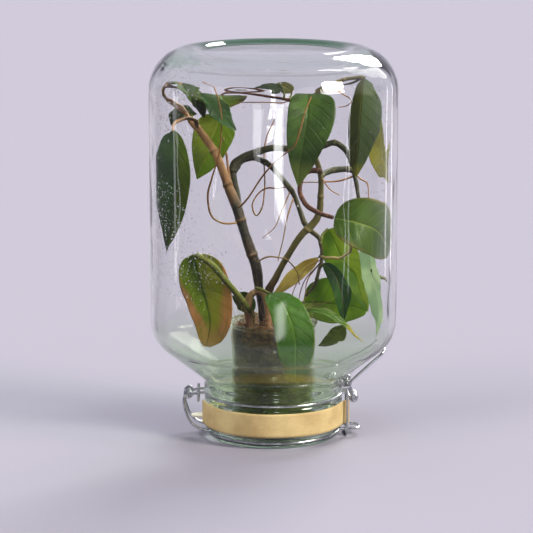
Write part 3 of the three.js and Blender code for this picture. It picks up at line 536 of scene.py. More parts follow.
dark_bark = bark_look("dark_bark", "2a2924", "c09068", (176, 210), "7a5c40", "5c4632")
olive_bark = bark_look("olive_bark", "403a24", "2a2e1c", (150, 190), "54502f", "3c3c24")
warm_bark = bark_look("warm_bark", "b08468", "645e34", (100, 140), "94805c", "7c7040")
red_bark = bark_look("red_bark", "56352a", "5c3429", (150, 250), "8c6048", "3e3024")
root_skin = bark_look("root_skin", "ac8c58", "ac7848", (150, 200), "c09c68")
warm_fibre = bark_look("coir_fibre", "9c7048", "b48c5c", (82, 88), "9c7048", "6c4c30")
pale_skin = bark_look("pale_skin", "e0bc84", "ecd098", (130, 140), "c09c64")


def woody(name, limbs, bark, sides=20, lumps=0.5, lump_scale=260):
    """A lumpy stem, swollen at the scars of its dropped leaves."""
    return bars(name, limbs, bark, sides, 0.9, lumps, lump_scale, RING_GAP)


def thin_roots(name, limbs, lumps=0.2, lump_scale=300.0):
    """Aerial roots, which taper to their tips."""
    return bars(name, limbs, root_skin, 8, 1.0, lumps, lump_scale)


left_stem = woody("stem_left_bark", [
    ([(-8, -6, SOIL_IN), (-8, -6, 88), (-10, -6, 107), (-12, -7, 126), (-16, -8, 139), (-22, -8, 157),
      (-26, -7, 170), (-31, -5, 182), (-44, 0, 211), (-59, 4, 232), (-74, 4, 247), (-79, 2, 254),
      (-77, -1, 259.5), (-71, -5, 260.4), (-66, -8.6, 260.6)], (2.9, 3.3, 3.8, 3.9, 3.4, 2.6, 2.0, 1.5)),
    ([(-29, -4, 178), (-30, 1, 184), (-32, 5, 192), (-34, 8, 208), (-37, 8, 219)], (1.3, 0.9)),
], dark_bark)
left_petiole = bars("stem_left_petiole", [
    ([(-55, 2, 228), (-56, -4, 233.5), (-64, -9, 235), (-71, -12, 232), (-72.5, -13.5, 229),
      (-72, -15.2, 226.5)], (1.5, 1.1)),
], bark_look("pink_stalk", "d09c80", "d8ac90", (228, 236), "e0b8a0", "b48868"), sides=14, spacing=0.8)
left_roots = thin_roots("stem_left_roots", [
    ([(-24, -8, 160), (-29, -12, 159.5), (-37, -14, 160), (-44, -16, 164), (-47, -16, 178),
      (-45, -14, 192), (-40, -12, 209), (-38, -14, 227), (-38, -17, 243), (-42, -18, 260),
      (-50, -14, 267)], (0.75, 0.45)),
    ([(-26, -8, 170), (-22, -14, 174), (-15, -24, 185), (-2, -40, 205), (9, -55, 217), (14, -63, 222),
      (17, -66, 230), (22, -65, 248), (26, -61, 258)], (0.7, 0.45)),
    ([(-12, -9, 130), (-5, -14, 135), (3, -19, 136), (10, -20, 134), (17, -18, 125),
      (19, -16, 115)], (0.6, 0.4)),
], lumps=0.25, lump_scale=400)
arch_stem = woody("stem_arch_bark", [
    ([(-25, -5, 168), (-26, 2, 174), (-29, 8, 188), (-28.5, 11, 198), (-24, 13, 203), (-13, 14, 207.5),
      (-1, 14, 210.5), (13, 14, 210), (31, 14, 211), (43, 14, 215), (50, 14, 212), (55.5, 14, 205),
      (59.5, 12, 193), (62, 8, 179), (64, 4, 163), (66, 0, 148)], (3.1, 1.6)),
    ([(59.5, 12, 194), (53, 11, 195), (45, 9, 194.8), (38, 4, 193.6), (34, -4, 192)], (2.4, 2.2)),
], olive_bark)
arch_roots = thin_roots("stem_arch_roots", [
    ([(60, 12, 190), (52, 12, 187), (41, 12, 186), (21, 12, 186)], (0.75, 0.4)),
    ([(60, 11, 193), (64, 6, 189), (68, 2, 186), (69, 0, 176)], (0.6, 0.4)),
])
branch_stem = woody("stem_branch_bark", [
    ([(-28, 11, 194), (-24, 20, 200), (-14, 23, 202), (-4, 22, 198), (11, 18, 182), (19, 14, 167),
      (26, 11, 152), (33, 9, 145)], (2.3, 2.0)),
    ([(33, 9, 145), (35, 9, 136), (35, 8, 128), (33, 5, 122), (30, 0, 112), (24, -4, 104)], (1.6, 0.8)),
], olive_bark, sides=18, lumps=0.4, lump_scale=280)
branch_roots = thin_roots("stem_branch_roots", [
    ([(11, 18, 182), (3, 24, 179), (-4, 25, 179), (-11, 24, 175), (-16, 23, 167), (-12, 22, 159),
      (-8, 22, 165), (-6, 24, 181), (-6, 28, 214), (0, 30, 230)], (0.65, 0.4)),
    ([(15, 16, 175), (13, 12, 171), (10, 8, 163), (6, 4, 144), (3, 3, 129)], (0.6, 0.4)),
    ([(12, 17, 179), (8, 10, 170), (5, 6, 164), (0, 4, 153), (-8, 3, 146)], (0.5, 0.3)),
    ([(35, 8, 129), (25, 6, 123), (18, 2, 113), (14, -2, 102)], (0.45, 0.3)),
    ([(35, 8, 128), (28, 8, 119), (22, 6, 110), (19, 4, 98)], (0.45, 0.3)),
    ([(35, 8, 128), (29, 10, 119), (25, 10, 110), (24, 8, 100)], (0.45, 0.3)),
])
right_stem = woody("stem_right_bark", [
    ([(-3, 5, SOIL_IN), (-3, 4, 88), (-3, 0, 108), (1, -3, 117), (13, -6, 138), (22.5, -8, 151),
      (28, -8, 157), (31.5, -8, 162), (33.5, -8, 168), (34, -8, 178), (34, -8, 190), (32, -8, 200),
      (28, -8, 210), (23, -9, 228), (22, -11, 243), (26, -15, 252), (32, -19, 258), (40, -22, 264),
      (46, -22, 268), (54, -22, 270), (60, -22.5, 270), (63, -25.5, 268.6)], (2.9, 1.7)),
    ([(40, -21, 263), (46, -18, 263), (54, -18, 265), (61, -20, 268.5)], (1.3, 1.1)),
], warm_bark, lumps=0.45)
right_red = bars("stem_right_runners", [
    ([(34, -9, 197), (26, -13, 198), (21, -16, 195), (19, -18, 189), (19, -20, 184), (21, -23, 179),
      (25, -27, 174), (33, -33, 170), (42, -38, 168)], (2.1, 1.5)),
    ([(23, -10, 244), (16, -5, 247), (12, 2, 249), (5, 8, 251), (-4, 14, 252), (-15, 20, 254),
      (-24, 24, 255), (-34, 26, 254.5), (-38, 25.4, 252.2)], (1.7, 0.9)),
], red_bark, sides=16, spacing=0.9, lumps=0.3)
right_roots = thin_roots("stem_right_roots", [
    ([(42, -23, 264), (45, -26, 259), (49, -28, 256), (53, -28, 253), (54, -28, 250), (51, -28, 247),
      (45, -28, 246)], (0.5, 0.35)),
    ([(35, -9, 192), (38, -14, 188), (42, -16, 184), (48, -18, 181)], (0.6, 0.35)),
    ([(12, 2, 248.6), (7, 5, 247), (-8, 10, 247), (-27, 14, 246)], (0.6, 0.35)),
])
hoop_stem = bars("stem_hoop_bark", [
    ([(-17, -15, SOIL_IN), (-18, -15, 88), (-19, -15, 98), (-17, -15, 106), (-13, -14.5, 109),
      (-8, -14, 108.5), (-5, -14, 103), (-4, -14, 96), (-4, -14, 88), (-4, -13, SOIL_IN)], (2.5, 2.3)),
], warm_bark, sides=16, spacing=0.9, lumps=0.4)
young_root = bars("root_pale_skin", [
    ([(35, 8, 131), (39, 1, 131.5), (43, -3, 132.5), (48, -8, 133), (52, -14, 136), (55, -20, 140),
      (56, -24, 145)], (0.95, 1.0)),
], pale_skin, sides=12, spacing=0.8, lumps=0.2)

# Strands of loose coir lie over one another on top of the pot, heaped in the middle.
TUFT_R = 26
TUFT_STRANDS = 150
HOP = 3.2
curls = np.random.default_rng(11)
tuft = []
for strand in range(TUFT_STRANDS):
    a, r = curls.uniform(0, 2 * math.pi), TUFT_R * curls.uniform(0.1, 1) ** 0.5
    spot = np.array([r * math.cos(a), r * math.sin(a), SOIL_TOP - 1.5 + 8 * (1 - r / TUFT_R)])
    way, path = curls.uniform(0, 2 * math.pi), [spot]
    for rise in (2.2, 1.2, 0.2, -0.8, -1.6):
        way += curls.normal(0, 0.7)
        spot = spot + (HOP * math.cos(way), HOP * math.sin(way), rise * curls.uniform(0.4, 1.4))
        spot[:2] *= min(1.0, (TUFT_R + 1.5) / math.hypot(*spot[:2]))
        path.append(spot)
    tuft.append((path, (0.22, 0.12)))
root_tuft = bars("root_ball_tuft", tuft, warm_fibre, sides=5, spacing=1.6)

# Hair roots stand up out of the coir at both sides of the stems.
HAIRS = 22
HAIR_PATCHES = (-17, 16)
hairs = []
for strand in range(HAIRS):
    across = HAIR_PATCHES[strand % 2] + curls.normal(0, 5)
    spot, path = np.array([across, -9 + curls.normal(0, 5), SOIL_TOP]), []
    lean = curls.uniform(-3.5, 3.5, 2)
    for hop in range(int(curls.integers(4, 7))):
        path.append(spot)
        lean = lean + curls.normal(0, 1.6, 2)
        spot = spot + (*lean, curls.uniform(3, 6.5))
    hairs.append((path, (0.16, 0.08)))
hair_roots = bars("root_ball_hairs", hairs, pale_skin, sides=5, spacing=1.4)

stood_for = {
    "root_ball": ("soil", [root_tuft, hair_roots]),
    "stem_left": ("bark", [left_stem, left_petiole, left_roots]),
    "stem_arch": ("green_bark", [arch_stem, arch_roots]),
    "stem_branch": ("green_bark", [branch_stem, branch_roots]),
    "stem_right": ("bark", [right_stem, right_red, right_roots]),
    "stem_hoop": ("bark", [hoop_stem]),
    "root_pale": ("pale_root", [young_root]),
}
for node, (slot, parts) in stood_for.items():
    for part in parts:
        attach(part, "jar")
        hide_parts(node)

# ---- Leaves -------------------------------------------------------------------------------------
# Waxy blades with a sunken midrib and side veins that curve to the edge. The old ones redden from
# the edge, and the ones against the glass are pale with the light behind them. Two blades in shade
# are painted pale, a painted light.

SIDE_VEINS = 9
VEIN_SLANT = 1.6
TOP_IN = 277.5
JAR_BORE = [(45.5, 42.7), (50.0, 67.9), (78.0, 68.0), (83.7, 74.6), (86.8, 86), (86.8, 254)]
JAR_BORE += [(84.7, 263.4), (78.8, 271.3), (71.7, 275.6), (61, 278)]


def keep_clear(points, margin):
    """Holds points inside the glass and off the pot."""
    heights = [z for _, z in JAR_BORE]
    radii = [r for r, _ in JAR_BORE]
    points[:, 2] = np.minimum(points[:, 2], TOP_IN - margin)
    reach = np.maximum(np.hypot(points[:, 0], points[:, 1]), 1e-6)
    most = np.interp(points[:, 2], heights, radii) - margin
    least = np.where(points[:, 2] < POT_HIGH + margin, POT_RIM_R + margin, 0.0)
    points[:, :2] *= (np.clip(reach, least, most) / reach)[:, None]
    return points


def leaf_width(t, belly, tip):
    """How wide a leaf is along its length: nothing at both ends, full where it is broadest."""
    rise = tip * belly / (1 - belly)
    full = belly**rise * (1 - belly) ** tip
    return np.maximum(t**rise * (1 - t) ** tip / full, 0.012)


def shell_faces(rows, spans):
    """The faces of a thin sheet: a grid of points, the same grid on its other side, and a rim."""
    wide, under = spans + 1, (rows + 1) * (spans + 1)
    quads = []
    for i in range(rows):
        for j in range(spans):
            a = i * wide + j
            quads.append((a, a + wide, a + wide + 1, a + 1))
            quads.append((under + a, under + a + 1, under + a + wide + 1, under + a + wide))
    rim = [i * wide for i in range(rows + 1)] + [rows * wide + j for j in range(1, wide)]
    rim += [i * wide + spans for i in range(rows - 1, -1, -1)] + list(range(spans - 1, 0, -1))
    return quads + [(a, under + a, under + b, b) for a, b in zip(rim, rim[1:] + rim[:1])]


def leaf_blade(name, rib, left, right, face=(0, -1, 0.25), belly=0.4, tip=0.95, cup=12, wave=0.8):
    """A blade along its midrib, from the stalk to the tip, with its length and width as a UV map."""
    rows, spans, thick, clearance = 64, 30, 0.5, 0.9
    middle = smooth_path(rib, 0.5)
    run = np.concatenate([[0], np.cumsum(np.linalg.norm(np.diff(middle, axis=0), axis=1))])
    t = np.linspace(0, 1, rows + 1)
    middle = np.stack([np.interp(t * run[-1], run, middle[:, k]) for k in range(3)], axis=1)
    along = np.gradient(middle, axis=0)
    along /= np.linalg.norm(along, axis=1)[:, None]
    faces = np.array(face if isinstance(face[0], (list, tuple)) else [face, face], float)
    looks = np.linspace(0, 1, len(faces))
    look_way = np.stack([np.interp(t, looks, faces[:, k]) for k in range(3)], axis=1)
    side = np.cross(look_way, along)
    side /= np.linalg.norm(side, axis=1)[:, None]
    normal = np.cross(along, side)
    width = leaf_width(t, belly, tip)[:, None]
    v = np.linspace(-1, 1, spans + 1)[None, :]
    reach = np.where(v < 0, left, right) * width * v
    ripple = wave * width * v * v * np.sin(9 * t[:, None] + np.where(v < 0, 1, 3))
    crimp = 0.28 * width * v * v * np.sin(31 * t[:, None] + 4 * v)
    vein = t[:, None] * SIDE_VEINS - np.abs(v) * VEIN_SLANT
    quilt = 0.16 * width * np.abs(v) * np.cos(2 * math.pi * vein)
    fold = np.abs(reach) * math.sin(math.radians(cup)) + ripple + crimp + quilt
    sunk = -0.35 * np.exp(-((v * 14) ** 2)) * width
    flat = side[:, None] * (reach * math.cos(math.radians(cup)))[..., None]
    points = middle[:, None] + flat + normal[:, None] * (fold + sunk)[..., None]
    points = keep_clear(points.reshape(-1, 3), clearance).reshape(rows + 1, spans + 1, 3)
    half = 0.5 * thick * (0.35 + 0.65 * (1 - np.abs(v) ** 4)) * np.minimum(width * 3, 1)
    upper = points + normal[:, None] * half[..., None]
    lower = points - normal[:, None] * half[..., None]
    both = np.concatenate([upper.reshape(-1, 3), lower.reshape(-1, 3)])
    piece = piece_of(name, both, shell_faces(rows, spans))
    layer = piece.data.uv_layers.new(name="UVMap")
    corner = np.empty(len(piece.data.loops), np.int32)
    piece.data.loops.foreach_get("vertex_index", corner)
    row, column = np.divmod(corner % (len(both) // 2), spans + 1)
    uv = np.stack([column / spans, row / rows], axis=1)
    layer.data.foreach_set("uv", uv.astype(np.float32).ravel())
    return piece


def leaf_look(name, green, deep, vein, edge=None, tip=None, edge_from=0.62, edge_down=0.25,
              tip_from=0.8, glow=0.3, lit=0.25, right=None, shine=0.28, vein_show=0.15, midrib=None,
              wax=1.0):
    """Leaf skin painted along and across the blade: veins, blotches, and a dying edge and tip."""
    look = Look(name)
    uv = look.node("ShaderNodeTexCoord", output="UV")
    across = uv.part("X") * 2 - 1
    down = uv.part("Y")
    out = abs(across)
    patch = look.noise(55, 4.0)
    fine = look.noise(420, 4.0)
    bend = look.noise(28, 2.0)
    skin = look.mix((patch * 1.3 - 0.15).band(0.36, 0.6) * 0.95, tint(green), tint(deep))
    if right:
        skin = look.mix(across.band(0.0, 0.12) * 0.85, skin, tint(right))
    row = (down * SIDE_VEINS - out * VEIN_SLANT + bend * 0.5).math("FRACT")
    branch = abs(row - 0.5)
    side_vein = branch.band(0.07, 0.0) * out.band(1.0, 0.8)
    cells = {"Scale": 420.0, "Vector": look.place()}
    net = look.node("ShaderNodeTexVoronoi", {"feature": "DISTANCE_TO_EDGE"}, cells)
    small_vein = net.band(0.12, 0.0) * 0.25
    rib = out.band(0.05, 0.015)
    if edge:
        dying = out + 0.5 * (patch - 0.5) + edge_down * (down - 0.5)
        dying = dying.band(edge_from, edge_from + 0.35)
        skin = look.mix(dying, skin, tint(edge))
    if tip:
        dying = (down + 0.25 * (patch - 0.5)).band(tip_from, tip_from + 0.16)
        skin = look.mix(dying, skin, tint(tip))
    skin = look.mix((side_vein * vein_show + small_vein * vein_show).clamp(), skin, tint(vein))
    skin = look.mix(rib * 0.9, skin, tint(midrib or vein))
    skin = look.mix(fine.band(0.55, 0.8) * 0.18, skin, tint(deep))
    drawn_out = look.node("ShaderNodeVectorMath", {"operation": "MULTIPLY"}, [uv, (60, 2, 1)])
    stripe = look.noise(1.0, 2.0, drawn_out)
    skin = look.mix(stripe.band(0.35, 0.7) * 0.45, skin, tint(deep))
    relief = fine * 0.25 - side_vein * 0.8 - rib * 1.2 - small_vein + branch * 0.4 + stripe * 0.6
    body = look.principled(
        Base_Color=skin,
        Roughness=shine + 0.14 * patch,
        Specular_IOR_Level=0.28 * wax,
        Coat_Weight=0.12 * wax,
        Coat_Roughness=0.2,
        Normal=look.bump(relief, 0.0004),
    )
    sap = look.mix(lit, skin, tint("c8e82c"))
    through = look.node("ShaderNodeBsdfTranslucent", {}, {"Color": sap})
    return look.done(look.blend(glow, body, through))


green_stalk = bark_look("green_stalk", "5a5c26", "5f6a24", (80, 140), "8a8450", "6f6c38")


def leaf(node, skin, rib, left, right, stalk=None, **shape):
    """A leaf with its blade along its rib, and its stalk where it isn't part of a stem."""
    blade = leaf_blade(node + "_blade", rib, left, right, **shape)
    blade.data.materials.append(skin)
    parts = [blade]
    if stalk:
        parts.append(bars(node + "_stalk", [stalk], green_stalk, sides=14, spacing=0.8))
    for part in parts:
        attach(part, "jar")
        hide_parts(node)


UP_FRONT = (0, -0.5, 0.85)
deep_green = leaf_look("leaf_deep_green", "30481c", "203418", "677831", tip="654c19", tip_from=0.93)
mid_green = leaf_look("leaf_mid_green", "536e1f", "395316", "8d9a37", glow=0.35)
lit_green = leaf_look(
    "leaf_lit_green", "84a80c", "587c08", "5c6c14", glow=0.6, lit=0.3, midrib="44441a", vein_show=0.7
)
leaf("leaf_top_left",
     leaf_look("leaf_top_left_skin", "50681c", "2f4818", "8a9f2c", edge="415d19", edge_from=0.7,
               wax=0.4),
     [(-77, -8, 262.5), (-64, -9, 259), (-54, -8, 248), (-49.5, -4, 235)], 8, 8,
     face=[(-0.1, -0.2, 1), (0.3, -0.5, 0.8), (0.5, -0.8, 0.3)], belly=0.5)
leaf("leaf_left_back",
     leaf_look("leaf_left_back_skin", "677f1f", "435b16", "9ba332", edge="654c1e", glow=0.45, lit=0.4),
     [(-37, 26, 252), (-37, 18, 251), (-36, 6, 245), (-36, 0, 240)], 13, 18,
     face=UP_FRONT, belly=0.42, cup=6)
leaf("leaf_left_glossy",
     leaf_look("leaf_left_glossy_skin", "35601e", "1f4415", "608635", shine=0.14, glow=0.2),
     [(-52, -14, 256), (-44, -12, 248), (-35, -11, 236), (-26, -11, 227)], 12, 8,
     face=(0.4, -0.8, 0.5), belly=0.45, cup=24, wave=1.6)
leaf("leaf_left_bright",
     leaf_look("leaf_left_bright_skin", "8c9434", "6c7420", "a4a848", right="78981c", glow=0.5,
               lit=0.45, vein_show=0.4),
     [(-40, 12, 234), (-43, 10, 224), (-48, 8, 209), (-55, 7, 189)], 14, 16,
     tip=0.9, belly=0.24, cup=8)
leaf("leaf_left_long",
     leaf_look("leaf_left_long_skin", "2c4c1a", "1c381c", "48682c", tip="8c6428", tip_from=0.93,
               right="6c8420", glow=0.35, shine=0.4, wax=0.2),
     [(-72, -15, 228), (-70, -22, 207), (-71, -22, 174), (-77, -13, 138)], 14, 12,
     tip=1.2, belly=0.36, cup=22)
leaf("leaf_left_high", deep_green,
     [(-55, 10, 236), (-63, 10, 235.5), (-71, 9, 233), (-76.5, 7, 228)], 8, 4, belly=0.45,
     stalk=([(-57, 3.5, 230), (-57, 7.5, 233.5), (-58, 10, 235.5)], (0.9, 0.8)))
leaf("leaf_low_left",
     leaf_look("leaf_low_left_skin", "849a18", "5c7410", "a89c3c", edge="d48c6c", tip="dcac78",
               edge_from=0.42, edge_down=1.1, tip_from=0.66, lit=0.3, midrib="23260f", glow=0.45,
               right="b4a840", vein_show=0.35),
     [(-57, -36, 141), (-54, -31, 127), (-48.5, -26, 105.5), (-45.5, -23, 88), (-49, -18, 67.5)], 15, 20,
     belly=0.36, tip=0.62, cup=10,
     stalk=([(-16, -9, SOIL_IN), (-17, -11, 88), (-20, -18, 99), (-28, -28, 113), (-37, -35, 125),
            (-45, -38, 135), (-55, -37, 141)], (2.5, 2.1)))
leaf("leaf_front",
     leaf_look("leaf_front_skin", "5c8c2c", "40741c", "9cbc50", edge="cbc14a", edge_from=0.9,
               edge_down=0.0, shine=0.2, midrib="7da335", tip="90881c", tip_from=0.84),
     [(-3, -20, 109.5), (7, -36, 105), (14, -41, 90), (16, -41, 70), (16, -40, 50)], 14, 14,
     face=[(0, -0.5, 0.9), (0, -0.9, 0.5), (0, -1, 0.1)], belly=0.55, tip=0.4, cup=0,
     stalk=([(-10, -9, 109), (-12, -14, 112), (-8, -19, 112), (-2.5, -21, 109.5)], (1.4, 1.0)))
leaf("leaf_front_blade",
     leaf_look("leaf_front_blade_skin", "678e26", "4c751e", "bdc14d", tip="e1cd53", tip_from=0.6),
     [(18, -24, 96), (28, -29, 98.5), (41, -31, 95), (53, -30, 86), (65, -26, 73)], 3.4, 3.4,
     face=(0.2, -0.5, 0.85), belly=0.4, cup=18,
     stalk=([(15, -14, SOIL_IN), (16, -17, 88), (18, -24, 96)], (1.2, 0.9)))
leaf("leaf_low_right",
     leaf_look("leaf_low_right_skin", "677b26", "4f631d", "9ea742", glow=0.4),
     [(53, 11, 78.5), (47.5, 11, 72.5), (40, 11, 66.5), (33, 11, 62)], 6.5, 6.5, belly=0.45,
     stalk=([(20, 6, SOIL_IN), (21, 7, 88), (33, 8, 92), (46, 10, 87.5), (53, 11, 79)], (1.0, 0.8)))
leaf("leaf_right_back", lit_green,
     [(23, 25, 94), (42, 33, 91), (58, 34, 89), (70, 31, 86)], 15, 20, belly=0.45, tip=0.5, cup=6,
     stalk=([(11, 13, SOIL_IN), (11, 15, 86), (15, 21, 93), (24, 25, 94)], (1.2, 1.0)))
leaf("leaf_right_low",
     leaf_look("leaf_right_low_skin", "88a418", "4c780c", "6c7c1c", glow=0.55, lit=0.35,
               midrib="5c6c18", right="a4b02c", vein_show=0.4),
     [(40, 17, 150), (50, 20, 131), (62, 18, 110), (70, 14, 89)], 14, 13, belly=0.32, cup=8,
     stalk=([(34.5, 10, 141), (36, 14, 146), (40, 17, 150)], (1.2, 1.0)))
leaf("leaf_right_dark",
     leaf_look("leaf_right_dark_skin", "3c7024", "285420", "637d29", midrib="c6b053", glow=0.2),
     [(36, -0.5, 127.5), (42, -4, 123.5), (49, -6, 113), (51.5, -6, 102), (52, -3, 85)], 8, 6,
     belly=0.4, cup=20,
     stalk=([(34, 5, 124), (36, 2, 126.5), (38, -1, 127)], (1.1, 0.9)))
leaf("leaf_round",
     leaf_look("leaf_round_skin", "577826", "416220", "a6b855", edge="a78740", edge_from=0.8,
               edge_down=0.0, vein_show=0.5, shine=0.24),
     [(43, -39, 168), (58, -46, 166), (72, -40, 159), (83, -20, 140)], 19, 20,
     face=[(0.2, -1, 0.3), (0.5, -1, 0.2), (0.9, -0.8, 0.1)], belly=0.45, tip=0.55, cup=4)
# Painted light: this blade's near-white greens stand in for light on a leaf that lies in shade.
leaf("leaf_right_tall",
     leaf_look("leaf_right_tall_skin", "e8f4dc", "c4d8c0", "f0f8e0", glow=0.6, lit=0.05, shine=0.5),
     [(66, -0.2, 147.3), (70.5, 0, 128), (74.5, 1, 105), (77.5, 3, 85), (77, 5, 70)], 8, 9,
     face=(-0.7, -0.7, 0.1), belly=0.4,
     stalk=([(71, 0, 123), (79, 2, 117), (82, 1, 116), (84, 0, 114)], (1.4, 1.0)))
leaf("leaf_top_right",
     leaf_look("leaf_top_right_skin", "4a4c1c", "38401a", "6b7429", right="566c48", midrib="6c7434",
               tip="8c8c28", tip_from=0.8, glow=0.25, shine=0.4, wax=0.35),
     [(63, -25, 269), (62, -33, 255), (60, -37, 230), (58, -30, 194)], 8, 16,
     face=[(0.1, -0.9, 0.4), (0.2, -1, 0.2), (0.3, -1, 0.1)], belly=0.42, cup=-14)
leaf("leaf_right_yellow",
     leaf_look("leaf_right_yellow_skin", "c0b440", "9c9430", "d4c860", glow=0.6, lit=0.2),
     [(76, 6, 237), (79, 9, 213), (82, 8, 195), (84, 5, 186)], 11, 5, belly=0.5,
     stalk=([(62, -20, 267.5), (65, -14, 264), (71, -2, 253), (76, 6, 236)], (1.0, 0.8)))
leaf("leaf_centre",
     leaf_look("leaf_centre_skin", "587c30", "385420", "8c9c5c", tip="94a458", tip_from=0.72,
               shine=0.26, midrib="4c6c22", glow=0.3),
     [(24.5, -37, 258.5), (24, -48, 244), (20, -54, 222), (17, -48, 192)], 14, 19,
     belly=0.24, tip=0.9, cup=10,
     stalk=([(28, -16, 254), (27, -26, 256.5), (25, -38, 257)], (1.3, 1.0)))
leaf("leaf_small_dark", deep_green,
     [(7, 4, 259), (-3, 4, 261.5), (-14, 2, 257)], 6, 6,
     stalk=([(7, 6, 250), (7.6, 4.6, 255), (6, 4, 259)], (0.9, 0.7)))
leaf("leaf_small_olive",
     leaf_look("leaf_small_olive_skin", "7a772c", "5c5d1e", "aea34a"),
     [(12.7, 8, 256), (7, 10, 263.5), (0, 8, 265)], 6, 7, belly=0.42,
     stalk=([(11, 4, 250), (12.4, 8, 253), (12.7, 8.2, 257)], (0.9, 0.7)))
# Partly the leaf's own pale olive and partly painted light: its cream colours stand in for light on a
# blade in shade.
leaf("leaf_back_olive",
     leaf_look("leaf_back_olive_skin", "ecdc94", "ccb878", "f4e8a4", glow=0.5, lit=0.05),
     [(32.5, 14, 129), (23, 19, 120.5), (12, 19, 111), (-2, 18, 99)], 5, 6, belly=0.42,
     stalk=([(35, 8, 132), (34, 12, 131), (33, 15, 129)], (1.0, 0.8)))
leaf("leaf_crown", mid_green,
     [(-16, 8, 89), (-22, 7, 98), (-30, 2, 103)], 7, 7, belly=0.45,
     stalk=([(-14, 8, SOIL_IN), (-15, 8, 87), (-16, 8, 91)], (1.0, 0.8)))

# ---- Jar ----------------------------------------------------------------------------------------
# The blown preserving jar stands on its mouth, with the foot ring on top. Its wall is wavy inside,
# where no mould touched it, and the glass is green where the light runs along it.


def arc(r, z, radius_r, radius_z, start, end, steps):
    """Part of an ellipse about the point r, z, between two angles in degrees."""
    turns = np.radians(np.linspace(start, end, steps + 1))
    return [(r + radius_r * math.cos(a), z + radius_z * math.sin(a)) for a in turns]


def eased(points, reach):
    """The rounded corners of a run of points, without its two ends."""
    return rounded(points, reach, closed=False)[1:-1]


HEIGHT = 286
JAR_R = 90
WALL = 3.2
SHOULDER_R = 31
FOOT_R = JAR_R - SHOULDER_R
CURVE_R = 26
CURVE_Z = 86
CONE_TURN = 52
NECK_R = 51
NECK_BORE = 45.5
WALL_LOW = 92
WALL_HIGH = 250
jar_outside = rounded(
    [(0, HEIGHT - 3), (FOOT_R - 8, HEIGHT - 3), (FOOT_R - 4, HEIGHT - 0.6), (FOOT_R - 1, HEIGHT)], 2.0
)
jar_outside += arc(FOOT_R, HEIGHT - SHOULDER_R, SHOULDER_R, SHOULDER_R, 90, 0, 30)
jar_outside += [(JAR_R, z) for z in np.linspace(WALL_HIGH, WALL_LOW, 40)]
jar_outside += arc(JAR_R - CURVE_R, CURVE_Z, CURVE_R, CURVE_R, 0, -CONE_TURN, 18)
neck = [jar_outside[-1], (NECK_R, 43), (NECK_R - 1.3, 41), (NECK_R, 38), (NECK_R - 0.4, 34.4)]
neck += [(48.9, 33.2), (48.9, 30.8), (50.7, 29), (50.7, 16.2), (49.7, 15)]
jar_outside += eased([*neck, (46.3, 15)], 1.4)
jar_inside = eased([(49.7, 15), (46.3, 15), (NECK_BORE, 16), (NECK_BORE, 42.7)], 0.6)
jar_inside += [(NECK_BORE, z) for z in (20, 26, 32, 38)]
jar_inside += eased([(NECK_BORE, 38), (NECK_BORE, 42.7), (78, 68)], 2.5)
inner_curve = CURVE_R - WALL
jar_inside += arc(JAR_R - CURVE_R, CURVE_Z, inner_curve, inner_curve, -CONE_TURN, 0, 14)
jar_inside += [(JAR_R - WALL, z) for z in np.linspace(WALL_LOW, WALL_HIGH, 40)]
jar_inside += arc(FOOT_R + 2, HEIGHT - 32, JAR_R - WALL - FOOT_R - 2, 24.5, 0, 90, 16)
jar_inside += [(40, HEIGHT - 7.2), (20, HEIGHT - 7.4), (0, HEIGHT - 7.5)]


def blown_wall(r, z, a):
    """How far the wall is from true: a hair outside, and more inside."""
    where = Vector((2.2 * math.cos(a), 2.2 * math.sin(a), z / 90))
    wander = noise.noise(where * 1.7) + 0.5 * noise.noise(where * 4)
    outer = (z > CURVE_Z and r > JAR_R - 2) or z > HEIGHT - 6.9
    depth = 0.06 if outer or z < 60 else 0.35
    return depth * (wander + 0.8)


def glass_tint_and_ring_shade(look):
    """Clear, but greener in the thick cone and neck, with painted shade: dark green in the back of the
    foot ring.
    """
    height, back = look.axis("Z"), look.axis("Y")
    reach = (look.axis("X") ** 2 + back**2) ** 0.5
    # The back of the foot ring is painted dark green: painted shade for the dark line that the glass ring
    # shows there.
    ring = height.band(0.2785, 0.2825) * reach.band(0.046, 0.05) * reach.band(0.07, 0.063)
    thick = look.mix(height.band(0.09, 0.06), (1, 1, 1, 1), tint("dbe8d4"))
    return look.mix(ring * back.band(-0.02, 0.02), thick, tint("22502e"))


jar = turned("glass_jar", jar_outside + jar_inside, around=192, wobble=blown_wall)
jar_glass = clear_look("blown_glass", glass_tint_and_ring_shade, 1.5, waves=(9, (1, 1, 0.35), 0.0012), green=4)
jar.data.materials.append(jar_glass)
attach(jar, "jar")
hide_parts("jar_glass")

# ---- Condensation -------------------------------------------------------------------------------
# Damp air beads on the cool inner wall. The drops gather in patches at the left, and at the back under
# the foot.

DROP_R = JAR_R - WALL - 0.55
wet_wall = [(DROP_R - 0.01, 95)] + [(DROP_R, z) for z in np.linspace(96, 252, 27)]
wet_wall += arc(FOOT_R + 2, HEIGHT - 32, DROP_R - FOOT_R - 2, 23.9, 8, 84, 8)
drop_wall = turned("drop_wall", wet_wall, around=120)
drop_wall.data.flip_normals()
drop_tree = bpy.data.node_groups.new("drops_on_a_wall", "GeometryNodeTree")
drop_sockets = {"Density": "Float", "Size": "Float", "Seed": "Int", "Material": "Material"}
tree, given = tree_inputs(drop_tree, drop_sockets)
where = tree.node("GeometryNodeInputPosition")
east, north, up = (where.part(letter) for letter in "XYZ")
patchy = tree.node("ShaderNodeTexNoise", {}, {"Vector": where, "Scale": 22.0, "Detail": 3.0})
left_side = 2.2 * east.band(-0.045, -0.08) * up.band(0.105, 0.14)
right_side = east.band(0.066, 0.084) * 0.5
below_foot = up.band(0.27, 0.275) * north.band(0.0, 0.035)
